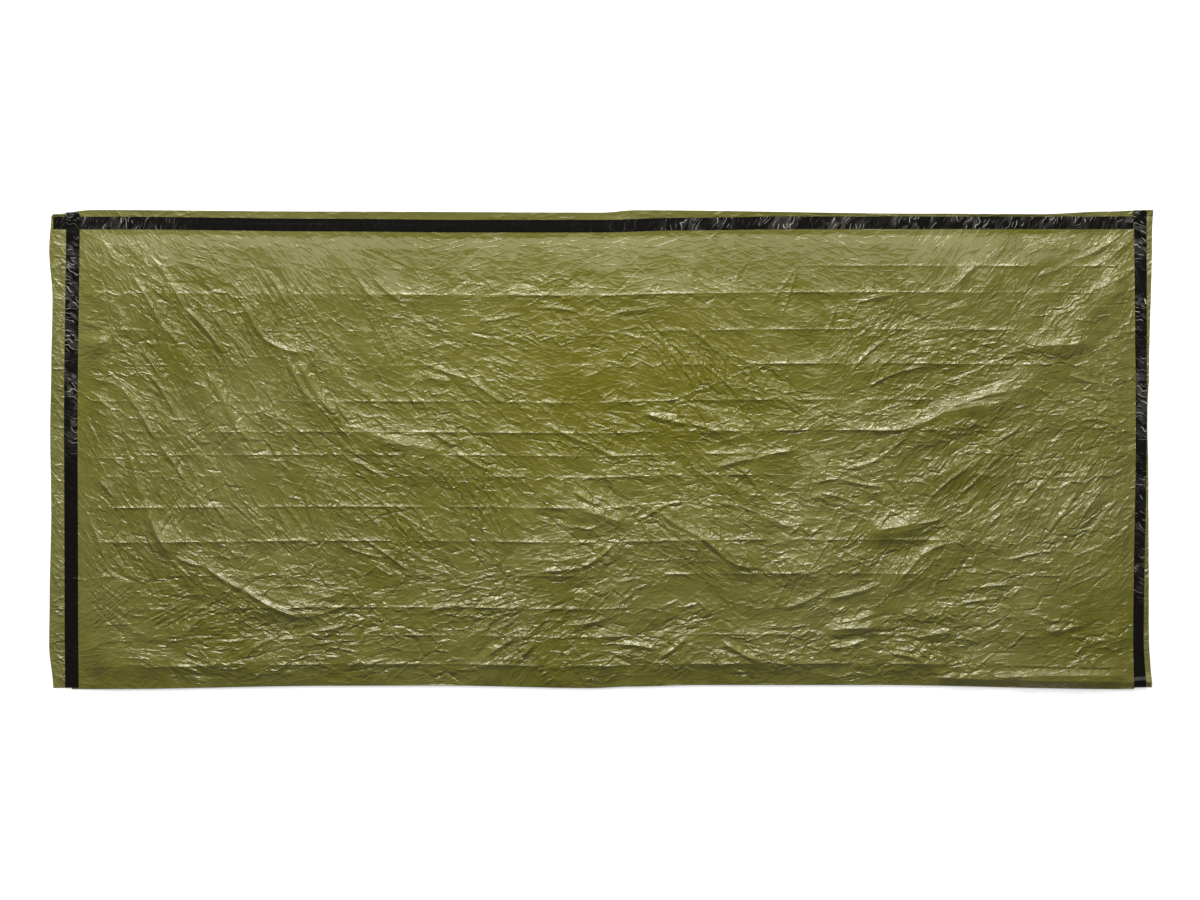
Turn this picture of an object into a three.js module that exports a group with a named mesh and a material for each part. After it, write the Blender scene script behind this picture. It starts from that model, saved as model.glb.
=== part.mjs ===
// Emergency sleeping bag, lying empty on its back: one film folded along its long
// lower side, closed at the top and foot by black tapes, open at the right-hand end.
// Millimetres. X runs from foot to mouth, Y from the fold to the taped long seam,
// +Z up. The origin is under the middle of the bag, on the surface that it lies on.
import * as THREE from 'three';

// ---------------------------------------------------------------- driving sizes
const FILM = 1.0; // thickness of the film, as modelled
const TAPE = 0.8; // thickness of a tape, as modelled
const GAP = 0.3; // air between pieces that lie on each other

// Straight cutting lines of the back layer, before it is laid out.
const EDGE = { left: -1056, right: 1052, top: 457, fold: -456 };

// Tapes: centre line and width. The end of the top tape stops short of the mouth tape.
const TOP_TAPE = { y: 433, wide: 24, left: -1052, right: 1017.5 };
const FOOT_TAPE = { x: -1017, wide: 26, low: -453.5, high: 456 };
const MOUTH_TAPE = { x: 1032, wide: 26, low: -452.5, high: 456 };

// The front layer is shorter: its edges lie under the top and foot tapes' centre
// lines, and its free edge at the mouth reaches just over the mouth tape.
const FRONT = { left: FOOT_TAPE.x, right: 1023, top: TOP_TAPE.y };

const LOFT = 8.5; // height of the front layer's mid-surface, where nothing holds it
const RELIEF = { low: -1.1, high: 3.2 }; // how far creases and folds may take it from that
const FOLD_RADIUS = { free: 1.2, taped: (FILM + GAP) / 2 }; // mid-surface, at the long fold

// Where the front layer comes up from the edges that hold it, and where the top seam
// comes up over the end of the mouth tape.
const RISE = {
  foot: { from: FOOT_TAPE.x + FOOT_TAPE.wide / 2 + 1, over: 45 },
  top: { from: TOP_TAPE.y - TOP_TAPE.wide / 2 - 10, over: 38 },
  fold: { from: EDGE.fold + FOLD_RADIUS.free + FILM / 2, over: 42 },
  mouth: { from: MOUTH_TAPE.x - MOUTH_TAPE.wide / 2 - 15, over: 10 },
};
const OPEN_OUT = 60; // run over which the long fold opens, from the foot tape on

const STEP_CLEAR = 0.6; // a tape stays up this far past the edge that it covers
const STEP_RUN = 3; // and then comes down over this run

// ---------------------------------------------------------------- short tables
// How far each line strays from straight as the bag lies, at places along it.
const STRAY = {
  leftEdge: [
    { at: -460, by: 4 }, { at: -370, by: -4 }, { at: -290, by: -3 }, { at: -116, by: 0 },
    { at: 37, by: -2 }, { at: 153, by: 0 }, { at: 287, by: 2.5 }, { at: 383, by: -4 },
    { at: 446, by: 0 }, { at: 460, by: 5 },
  ],
  footTape: [
    { at: -460, by: 1 }, { at: -300, by: 0 }, { at: 60, by: -1 }, { at: 460, by: 3 },
  ],
  freeEdge: [
    { at: -460, by: -0.5 }, { at: -366, by: -2 }, { at: 57, by: 3 }, { at: 460, by: 0 },
  ],
  mouthTape: [
    { at: -460, by: 1.5 }, { at: -366, by: -3 }, { at: 57, by: 3 }, { at: 460, by: 2.5 },
  ],
  rightEdge: [
    { at: -460, by: 5.5 }, { at: -350, by: 0 }, { at: -40, by: -1 }, { at: 60, by: -3 },
    { at: 150, by: 0.5 }, { at: 400, by: 6 }, { at: 460, by: 8 },
  ],
  fold: [
    { at: -1056, by: -4 }, { at: -940, by: -4 }, { at: -519, by: 2.5 }, { at: -308, by: 3 },
    { at: -20, by: -2 }, { at: 56, by: 1 }, { at: 190, by: 4 }, { at: 516, by: 4 },
    { at: 994, by: -4 }, { at: 1052, by: -3 },
  ],
  topTape: [
    { at: -1056, by: 2 }, { at: -940, by: 2 }, { at: -519, by: -2 }, { at: -260, by: -4 },
    { at: -2, by: -4 }, { at: 152, by: 0 }, { at: 382, by: 2.5 }, { at: 1052, by: 2.5 },
  ],
  topEdge: [
    { at: -1056, by: -5 }, { at: -979, by: 3 }, { at: -519, by: 0 }, { at: -2, by: -2 },
    { at: 65, by: 2.5 }, { at: 631, by: -4 }, { at: 841, by: -5 }, { at: 966, by: 0 },
    { at: 1052, by: 3 },
  ],
};

// Creases pressed in when the bag was packed. They run the whole length; lift is
// positive on a ridge and negative in a valley, and full between from and to.
const CREASES = [
  { y: -414, lift: 0.5, from: -800, to: 600 },
  { y: -358, lift: -0.8, from: -600, to: 400 },
  { y: -304, lift: -1.0, from: -620, to: 40 },
  { y: -241, lift: 1.1, from: -100, to: 520 },
  { y: -176, lift: 1.2, from: -960, to: 620 },
  { y: -110, lift: 0.5, from: -1000, to: 0 },
  { y: -51, lift: -1.0, from: -120, to: 230 },
  { y: -10, lift: 0.2, from: -700, to: 200 },
  { y: 34, lift: 0.4, from: -500, to: 570 },
  { y: 93, lift: -1.0, from: -500, to: 570 },
  { y: 162, lift: -0.7, from: 150, to: 960 },
  { y: 228, lift: -0.8, from: 170, to: 760 },
  { y: 299, lift: 1.6, from: -350, to: 570 },
  { y: 350, lift: 0.8, from: 480, to: 960 },
];
const CREASE_FADE = { share: 0.45, over: 250 }; // strength beyond its full stretch

// Main folds, hung in swags from the two top corners. Each is a ridge from one point
// to the other, bowed to its left; wide is half its width at the foot of the ridge.
const FOLDS = [
  { x0: -930, y0: 390, x1: -725, y1: 180, bow: 20, rise: 1.8, wide: 50 },
  { x0: -880, y0: 290, x1: -765, y1: 120, bow: 12, rise: 1.6, wide: 45 },
  { x0: -770, y0: 140, x1: -690, y1: 10, bow: -8, rise: 1.8, wide: 45 },
  { x0: -685, y0: 280, x1: -560, y1: 170, bow: -22, rise: 1.6, wide: 45 },
  { x0: -600, y0: 170, x1: -500, y1: 60, bow: -15, rise: 2.2, wide: 48 },
  { x0: -900, y0: 0, x1: -810, y1: -210, bow: -12, rise: 2.0, wide: 48 },
  { x0: -820, y0: -205, x1: -520, y1: -310, bow: -25, rise: 2.6, wide: 50 },
  { x0: -470, y0: 40, x1: -260, y1: -40, bow: -14, rise: 2.2, wide: 55 },
  { x0: -250, y0: 130, x1: -100, y1: 60, bow: -8, rise: 1.6, wide: 45 },
  { x0: -110, y0: -60, x1: 60, y1: -150, bow: -10, rise: 2.4, wide: 52 },
  { x0: 80, y0: 65, x1: 260, y1: 40, bow: -6, rise: 2.0, wide: 42 },
  { x0: 110, y0: -125, x1: 300, y1: -225, bow: -14, rise: 2.4, wide: 46 },
  { x0: 230, y0: -30, x1: 380, y1: -5, bow: -6, rise: 2.2, wide: 42 },
  { x0: -110, y0: -235, x1: 50, y1: -165, bow: -18, rise: 1.8, wide: 42 },
  { x0: 320, y0: -232, x1: 520, y1: -228, bow: -4, rise: 2.0, wide: 46 },
  { x0: 190, y0: -370, x1: 330, y1: -415, bow: -8, rise: 1.4, wide: 40 },
  { x0: 490, y0: 150, x1: 640, y1: 200, bow: -10, rise: 1.6, wide: 44 },
  { x0: 560, y0: 30, x1: 790, y1: 115, bow: -14, rise: 3.0, wide: 50 },
  { x0: 690, y0: 315, x1: 880, y1: 400, bow: -12, rise: 1.6, wide: 46 },
  { x0: 850, y0: 190, x1: 930, y1: 240, bow: -6, rise: 2.2, wide: 52 },
  { x0: 640, y0: -60, x1: 800, y1: 20, bow: -10, rise: 2.0, wide: 44 },
  { x0: 510, y0: -160, x1: 640, y1: -130, bow: -8, rise: 2.6, wide: 46 },
  { x0: 860, y0: -165, x1: 950, y1: -50, bow: -8, rise: 1.8, wide: 44 },
  { x0: 540, y0: -270, x1: 730, y1: -130, bow: -14, rise: 2.2, wide: 46 },
  { x0: 800, y0: -425, x1: 1030, y1: -425, bow: 0, rise: 1.6, wide: 42 },
];

// ---------------------------------------------------------------- small helpers
const clamp = THREE.MathUtils.clamp;
const mix = THREE.MathUtils.lerp;
const ease = (t) => THREE.MathUtils.smoothstep(t, 0, 1);
const ramp = (value, { from, over }) => clamp((value - from) / over, 0, 1);

/** Evenly spaced values from low to high, both included. */
function steps(low, high, count) {
  return Array.from({ length: count }, (_, k) => mix(low, high, k / (count - 1)));
}

/** A short table read at a place between its rows, eased so that rows are extremes. */
function read(table, at) {
  const last = table.length - 1;
  const place = clamp(at, table[0].at, table[last].at);
  const k = Math.min(table.findLastIndex((row) => row.at <= place), last - 1);
  const share = (place - table[k].at) / (table[k + 1].at - table[k].at);
  return mix(table[k].by, table[k + 1].by, ease(share));
}

/** Straight interpolation through [place, value] pairs. */
function between(pairs, at) {
  const k = clamp(pairs.findLastIndex(([place]) => place <= at), 0, pairs.length - 2);
  const [[from, low], [to, high]] = [pairs[k], pairs[k + 1]];
  return mix(low, high, clamp((at - from) / (to - from), 0, 1));
}

// ---------------------------------------------------------------- lie in the plane
/** Where a point of the cut film comes to lie; front tells the two layers apart. */
function lie(u, v, front = false) {
  const foot = read(STRAY.footTape, v);
  const mouth = read(STRAY.mouthTape, v);
  const acrossX = front
    ? [[FRONT.left, foot], [FRONT.right, read(STRAY.freeEdge, v)]]
    : [
      [EDGE.left, read(STRAY.leftEdge, v)],
      [FOOT_TAPE.x - FOOT_TAPE.wide / 2, foot],
      [FOOT_TAPE.x + FOOT_TAPE.wide / 2, foot],
      [MOUTH_TAPE.x - MOUTH_TAPE.wide / 2, mouth],
      [MOUTH_TAPE.x + MOUTH_TAPE.wide / 2, mouth],
      [EDGE.right, read(STRAY.rightEdge, v)],
    ];
  const tape = read(STRAY.topTape, u);
  const acrossY = [
    [EDGE.fold, read(STRAY.fold, u)],
    [TOP_TAPE.y - TOP_TAPE.wide / 2, tape],
    [TOP_TAPE.y + TOP_TAPE.wide / 2, tape],
    [EDGE.top, read(STRAY.topEdge, u)],
  ];
  return [u + between(acrossX, u), v + between(acrossY, v)];
}

// ---------------------------------------------------------------- heights
/** Height added by the pressed creases, straight from one crease to the next. */
function creaseLift(u, v) {
  const lifts = CREASES.map(({ y, lift, from, to }) => {
    const beyond = Math.max(from - u, u - to, 0) / CREASE_FADE.over;
    return [y, lift * mix(1, CREASE_FADE.share, ease(beyond))];
  });
  return between(lifts, v);
}

/** Height added by one main fold: a rounded ridge that dies away at its ends. */
function foldLift(u, v, { x0, y0, x1, y1, bow, rise, wide }) {
  const length = Math.hypot(x1 - x0, y1 - y0);
  const [dx, dy] = [(x1 - x0) / length, (y1 - y0) / length];
  const along = clamp(((u - x0) * dx + (v - y0) * dy) / length, 0, 1);
  const bulge = bow * 4 * along * (1 - along);
  const nearX = x0 + dx * along * length - dy * bulge;
  const nearY = y0 + dy * along * length + dx * bulge;
  const away = clamp(Math.hypot(u - nearX, v - nearY) / wide, 0, 1);
  const taper = Math.sqrt(Math.sin(Math.PI * clamp(along, 0.06, 0.94)));
  return rise * taper * (1 - away * away) ** 2;
}

/** How much the front layer stands over the back layer at the top seam's mouth end. */
function overMouthTape(u) {
  return (TAPE + GAP) * ramp(u, RISE.mouth);
}

/** Radius of the long fold's mid-surface: pressed flat under the foot tape. */
function foldRadius(u) {
  const free = ramp(u, { from: RISE.foot.from, over: OPEN_OUT });
  return mix(FOLD_RADIUS.taped, FOLD_RADIUS.free, free);
}

/** Height of the front layer's mid-surface. */
function frontHeight(u, v) {
  const held = ramp(u, RISE.foot)
    * ramp(-v, { from: -RISE.top.from, over: RISE.top.over })
    * ramp(v, RISE.fold);
  const atSeam = FILM * 1.5 + GAP + overMouthTape(u);
  const atFold = FILM / 2 + 2 * foldRadius(u);
  const level = mix(atFold, atSeam, ease((v - EDGE.fold) / (FRONT.top - EDGE.fold)));
  const folds = FOLDS.reduce((sum, fold) => sum + foldLift(u, v, fold), 0);
  const relief = clamp(creaseLift(u, v) + folds, RELIEF.low, RELIEF.high);
  return mix(level, LOFT + relief, held);
}

// ---------------------------------------------------------------- sheets to solids
/**
 * A closed solid from a grid of cells: pointAt(i, j, side) gives its two skins, side
 * +1 being the one that the cells' own turn faces, and inPlay(i, j) picks the cells.
 */
function sheetSolid(columns, rows, pointAt, inPlay = () => true) {
  const positions = [];
  const index = [];
  const known = new Map();
  const corner = (i, j, side) => {
    const key = `${i},${j},${side}`;
    if (!known.has(key)) {
      known.set(key, positions.length / 3);
      positions.push(...pointAt(i, j, side));
    }
    return known.get(key);
  };
  const isCell = (i, j) => i >= 0 && j >= 0 && i < columns - 1 && j < rows - 1 && inPlay(i, j);
  const quad = (a, b, c, d, turned) => {
    index.push(...(turned ? [a, b, d, b, c, d] : [a, b, c, a, c, d]));
  };

  for (let j = 0; j < rows - 1; j += 1) {
    for (let i = 0; i < columns - 1; i += 1) {
      if (!isCell(i, j)) continue;
      const ring = [[i, j], [i + 1, j], [i + 1, j + 1], [i, j + 1]];
      const [a, b, c, d] = ring.map(([p, q]) => corner(p, q, 1));
      const [e, f, g, h] = ring.map(([p, q]) => corner(p, q, -1));
      // The diagonal follows the drape, which falls to the middle from both ends.
      const turned = i < columns / 2;
      quad(a, b, c, d, turned);
      index.push(...(turned ? [e, h, f, f, h, g] : [e, g, f, e, h, g]));
      if (!isCell(i, j - 1)) quad(b, a, e, f);
      if (!isCell(i + 1, j)) quad(c, b, f, g);
      if (!isCell(i, j + 1)) quad(d, c, g, h);
      if (!isCell(i - 1, j)) quad(a, d, h, e);
    }
  }
  const geometry = new THREE.BufferGeometry();
  geometry.setAttribute('position', new THREE.Float32BufferAttribute(positions, 3));
  geometry.setIndex(index);
  geometry.computeVertexNormals();
  return geometry;
}

// ---------------------------------------------------------------- the film
function filmGeometry() {
  const columns = [
    EDGE.left, FRONT.left, RISE.foot.from, RISE.foot.from + RISE.foot.over / 2,
    ...steps(RISE.foot.from + RISE.foot.over, RISE.mouth.from, 40),
    RISE.mouth.from + RISE.mouth.over, FRONT.right, EDGE.right,
  ];
  // The back layer is flat, and bends only with its outline.
  const backRows = [EDGE.top, 383, 287, 150, 57, -116, -290, -366];
  const foldTurns = [-90, -45, 0, 45, 90];
  // The front layer has a row on every crease and one half-way to the next.
  const frontRows = [
    ...CREASES.flatMap(({ y }, k) => [mix(k ? CREASES[k - 1].y : EDGE.fold, y, 0.5), y]),
    RISE.top.from - RISE.top.over, RISE.top.from, FRONT.top,
  ];
  const firstTurn = backRows.length;
  const firstFront = firstTurn + foldTurns.length;
  const rows = firstFront + frontRows.length;
  const frontCell = (i) => columns[i] >= FRONT.left && columns[i + 1] <= FRONT.right;

  const pointAt = (i, j, side) => {
    const u = columns[i];
    if (j < firstTurn) {
      return [...lie(u, backRows[j]), FILM / 2 - side * FILM / 2];
    }
    if (j >= firstFront) {
      const v = frontRows[j - firstFront];
      return [...lie(u, v, true), frontHeight(u, v) + side * FILM / 2];
    }
    const turn = THREE.MathUtils.degToRad(foldTurns[j - firstTurn]);
    const radius = foldRadius(u);
    const skin = radius + side * FILM / 2;
    const centre = EDGE.fold + radius + FILM / 2;
    const [x, y] = lie(u, centre, turn > 0);
    return [x, y - skin * Math.cos(turn), FILM / 2 + radius + skin * Math.sin(turn)];
  };
  return sheetSolid(columns.length, rows, pointAt, (i, j) => j < firstTurn || frontCell(i));
}

// ---------------------------------------------------------------- the tapes
/** 1 on a covered piece and just past its edge, 0 beyond the step down. */
const covers = (past) => 1 - ramp(past, { from: STEP_CLEAR, over: STEP_RUN });

/** Underside of the top tape: up on the front layer, down on the back layer. */
function topTapeUnder(u, v) {
  const onFront = Math.min(covers(FRONT.left - u), covers(v - FRONT.top));
  return FILM + GAP + onFront * (FILM + GAP + overMouthTape(u));
}

/** Underside of the foot tape, which also steps over the end of the top tape. */
function footTapeUnder(u, v) {
  const onFront = Math.min(covers(u < FRONT.left ? FRONT.left - u : 0), covers(v - FRONT.top));
  const onTape = covers(Math.abs(v - TOP_TAPE.y) - TOP_TAPE.wide / 2);
  return FILM + GAP + onFront * (FILM + GAP) + onTape * (TAPE + GAP);
}

/** A tape on its own grid of straight cutting lines, laid out with one of the layers. */
function tapeGeometry(columns, rows, under, front = false) {
  return sheetSolid(columns.length, rows.length, (i, j, side) => {
    const [u, v] = [columns[i], rows[j]];
    return [...lie(u, v, front), under(u, v) + (side > 0 ? TAPE : 0)];
  });
}

/** Lines at both ends of a step down past an edge; toward is +1 or -1. */
const stepLines = (edge, toward) => [
  edge + toward * STEP_CLEAR,
  edge + toward * (STEP_CLEAR + STEP_RUN),
];

function topTapeGeometry() {
  const [near, far] = stepLines(FRONT.left, -1);
  const columns = [
    TOP_TAPE.left, FOOT_TAPE.x - FOOT_TAPE.wide / 2, far, near,
    ...steps(FOOT_TAPE.x + FOOT_TAPE.wide / 2, RISE.mouth.from, 26),
    RISE.mouth.from + RISE.mouth.over, TOP_TAPE.right,
  ];
  const half = TOP_TAPE.wide / 2;
  const rows = [TOP_TAPE.y - half, ...stepLines(FRONT.top, 1), TOP_TAPE.y + half];
  return tapeGeometry(columns, rows, topTapeUnder, true);
}

function footTapeGeometry() {
  const half = FOOT_TAPE.wide / 2;
  const columns = [
    FOOT_TAPE.x - half, ...stepLines(FRONT.left, -1).reverse(), FOOT_TAPE.x + half,
  ];
  const [tapeLow, tapeHigh] = [TOP_TAPE.y - TOP_TAPE.wide / 2, TOP_TAPE.y + TOP_TAPE.wide / 2];
  const [stepUp, stepTop] = stepLines(tapeLow, -1).reverse();
  const rows = [
    ...steps(FOOT_TAPE.low, stepUp, 20), stepTop, tapeLow, ...stepLines(FRONT.top, 1),
    tapeHigh, ...stepLines(tapeHigh, 1), FOOT_TAPE.high,
  ];
  return tapeGeometry(columns, rows, footTapeUnder);
}

function mouthTapeGeometry() {
  const half = MOUTH_TAPE.wide / 2;
  const columns = [MOUTH_TAPE.x - half, MOUTH_TAPE.x, MOUTH_TAPE.x + half];
  const rows = steps(MOUTH_TAPE.low, MOUTH_TAPE.high, 21);
  return tapeGeometry(columns, rows, () => FILM + GAP);
}

// ---------------------------------------------------------------- the bag
const OLIVE_FILM = new THREE.MeshStandardMaterial({ color: 0x76723a, roughness: 0.35, metalness: 0.1 });
const BLACK_TAPE = new THREE.MeshStandardMaterial({ color: 0x1c1c1a, roughness: 0.3, metalness: 0 });

const bag = new THREE.Group();
const add = (name, geometry, material) => {
  const piece = new THREE.Mesh(geometry, material);
  piece.name = name;
  bag.add(piece);
};
add('film', filmGeometry(), OLIVE_FILM);
add('tape_top', topTapeGeometry(), BLACK_TAPE);
add('tape_foot', footTapeGeometry(), BLACK_TAPE);
add('tape_mouth', mouthTapeGeometry(), BLACK_TAPE);

export default bag;
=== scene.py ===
"""Emergency sleeping bag laid out flat and empty: one folded olive film and three black tapes.

Tables and shape functions are in millimetres, as the bag is cut and laid; what reaches
Blender is in metres, in the frame's own axes: +X to the mouth, +Y to the long seam, +Z up.
"""
import math

import bmesh
import bpy
import numpy as np
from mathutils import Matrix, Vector
from mathutils.geometry import delaunay_2d_cdt


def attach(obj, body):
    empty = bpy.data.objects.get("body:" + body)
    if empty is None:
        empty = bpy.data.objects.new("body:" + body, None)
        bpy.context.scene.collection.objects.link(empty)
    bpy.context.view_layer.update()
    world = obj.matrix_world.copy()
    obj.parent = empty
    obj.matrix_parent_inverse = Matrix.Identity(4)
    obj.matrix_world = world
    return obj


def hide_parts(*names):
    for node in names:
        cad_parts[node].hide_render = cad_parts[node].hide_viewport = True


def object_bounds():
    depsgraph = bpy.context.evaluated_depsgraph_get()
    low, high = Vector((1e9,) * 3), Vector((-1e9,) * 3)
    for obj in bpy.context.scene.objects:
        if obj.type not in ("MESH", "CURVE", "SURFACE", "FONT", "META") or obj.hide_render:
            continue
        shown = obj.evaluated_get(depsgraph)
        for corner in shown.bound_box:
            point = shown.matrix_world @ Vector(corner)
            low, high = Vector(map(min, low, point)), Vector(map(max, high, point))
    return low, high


MM = 0.001
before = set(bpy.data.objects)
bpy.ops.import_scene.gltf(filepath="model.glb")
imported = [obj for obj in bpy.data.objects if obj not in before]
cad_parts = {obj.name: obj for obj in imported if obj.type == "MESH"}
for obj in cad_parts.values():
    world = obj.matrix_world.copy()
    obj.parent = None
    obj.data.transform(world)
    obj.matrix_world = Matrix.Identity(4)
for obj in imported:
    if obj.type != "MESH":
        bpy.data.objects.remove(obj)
CAD_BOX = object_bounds()

# ---------------------------------------------------------------- cut of the bag
EDGE = {"left": -1056, "right": 1052, "top": 457, "fold": -456}
FRONT = {"left": -1017, "right": 1023, "top": 433}
TOP_TAPE = {"y": 433, "wide": 24, "left": -1055, "right": 1018}
FOOT_TAPE = {"x": -1017, "wide": 26, "low": -453.5, "high": 456}
MOUTH_TAPE = {"x": 1032, "wide": 26, "low": -452, "high": 456}

LOFT = 8.4  # height of the free front layer, before creases and folds
RELIEF = (-2.6, 8.0)  # how far creases and main folds may take it from there
SEAM = 1.2  # height of the front layer where a tape holds it down
SEAM_DIP = (0.5, 9)  # how far it sinks just below the top tape, and over what breadth
BACK = 0.3  # height of the back layer, which touches the floor here and there
BACK_LEAST = 0.12  # its lowest point
MARGIN_CURL = 1.5  # how far the free edge above the top tape curls up
FOLD_RADIUS = {"free": 1.5, "taped": 0.6}  # of the turn at the long fold
LEDGE = 2.2  # how far in from the long fold the flat of each layer starts

# Where the front layer comes up from the tapes and the fold: from, over.
FOOT_RISE = (FOOT_TAPE["x"] + 14, 45)
TOP_RISE = (TOP_TAPE["y"] - 22, 115)
FOLD_RISE = (EDGE["fold"] + 1.7, 42)

RIM_STEP = 6  # spacing of the net's points along the sheet's edges and the long fold
FOLD_STEP = 15  # along each fold
FILL_STEP = {"front": 12, "back": 16}  # between the folds
FILL_JITTER = 0.35  # how far such a point is moved at most, as a share of that spacing
RIM_CLEAR = 1.5  # no other point is as close as this to the sheet's edges
NEAREST = 0.35  # points of the net that are closer than this become one
WELD = 0.02  # points that are closer than this become one where the net's parts meet
MOST_TRIANGLES = 195000  # of the film
SHARP_TURN = {"film": 4, "tape": 35}  # edges that turn by more degrees than this are sharp
RUN_STEP = 20.0  # grid on which the small folds look up how the film runs and is crushed

# How far each line strays from straight as the bag lies: place along it, offset.
LEFT_EDGE = [(-460, 4), (-370, -4), (-290, -3), (-116, 0), (37, -2), (153, 0), (287, 2.5),
             (383, -4), (446, 0), (460, 5)]
FOOT_LINE = [(-460, 1), (-300, 0), (60, -1), (460, 3)]
FREE_EDGE = [(-460, -0.5), (-366, -2), (57, 3), (460, 0)]
MOUTH_LINE = [(-460, 1.5), (-366, -3), (57, 3), (460, 2.5)]
RIGHT_EDGE = [(-460, 5.5), (-350, 0), (-40, -1), (60, -3), (150, 0.5), (400, 6), (460, 8)]
FOLD_LINE = [(-1056, -4), (-940, -4), (-519, 2.5), (-308, 3), (-20, -2), (56, 1), (190, 4),
             (516, 4), (994, -4), (1052, -3)]
SEAM_LINE = [(-1056, 2), (-940, 2), (-519, -2), (-260, -4), (-2, -4), (152, 0), (382, 2.5),
             (1052, 2.5)]
TOP_EDGE = [(-1056, -5), (-979, 3), (-519, 0), (-2, -2), (65, 2.5), (631, -4), (841, -5),
            (966, 0), (1052, 3)]

# Shape of a pressed crease: how much its lift counts, the height and breadth of its flanks,
# and the height and breadth of its sharp crest.
CREASE = {"lift": 1.5, "flank": (1.25, 26), "crest": (1.3, 4)}

# Creases pressed in when the bag was packed: y, lift, and the stretch where each is sharp.
CREASES = [
    (-414, 0.5, -800, 600), (-358, 0.0, -600, 400), (-304, 0.6, -620, 40),
    (-241, 1.3, -100, 520), (-176, 1.5, -960, 620), (-110, 0.4, -1000, 0),
    (-51, 0.8, -120, 230), (-10, 0.0, -700, 200), (34, 0.9, -500, 570),
    (93, 0.0, -500, 570), (162, 0.2, 150, 960), (228, 0.0, 170, 760),
    (299, 1.2, -350, 570), (350, 0.4, 480, 960),
]

# Main folds, in swags from the two top corners: x0, y0, x1, y1, bow, rise, wide. The gain
# multiplies each rise.
MAIN_GAIN = 1.7
MAIN_FOLDS = [
    (-930, 390, -725, 180, 20, 1.8, 50), (-880, 290, -765, 120, 12, 1.6, 45),
    (-770, 140, -690, 10, -8, 1.8, 45), (-685, 280, -560, 170, -22, 1.6, 45),
    (-600, 170, -500, 60, -15, 2.2, 48), (-900, 0, -810, -210, -12, 2.0, 48),
    (-820, -205, -520, -310, -25, 2.6, 50), (-470, 40, -260, -40, -14, 2.2, 55),
    (-250, 130, -100, 60, -8, 1.6, 45), (-110, -60, 60, -150, -10, 2.4, 52),
    (80, 65, 260, 40, -6, 2.0, 42), (110, -125, 300, -225, -14, 2.4, 46),
    (230, -30, 380, -5, -6, 2.2, 42), (-110, -235, 50, -165, -18, 1.8, 42),
    (320, -232, 520, -228, -4, 2.0, 46), (190, -370, 330, -415, -8, 1.4, 40),
    (490, 150, 640, 200, -10, 1.6, 44), (560, 30, 790, 115, -14, 3.0, 50),
    (690, 315, 880, 400, -12, 1.6, 46), (850, 190, 930, 240, -6, 2.2, 52),
    (640, -60, 800, 20, -10, 2.0, 44), (510, -160, 640, -130, -8, 2.6, 46),
    (860, -165, 950, -50, -8, 1.8, 44), (540, -270, 730, -130, -14, 2.2, 46),
    (560, -300, 700, -330, 6, 1.6, 44), (1010, 330, 860, 215, 6, 2.0, 42),
]

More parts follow.
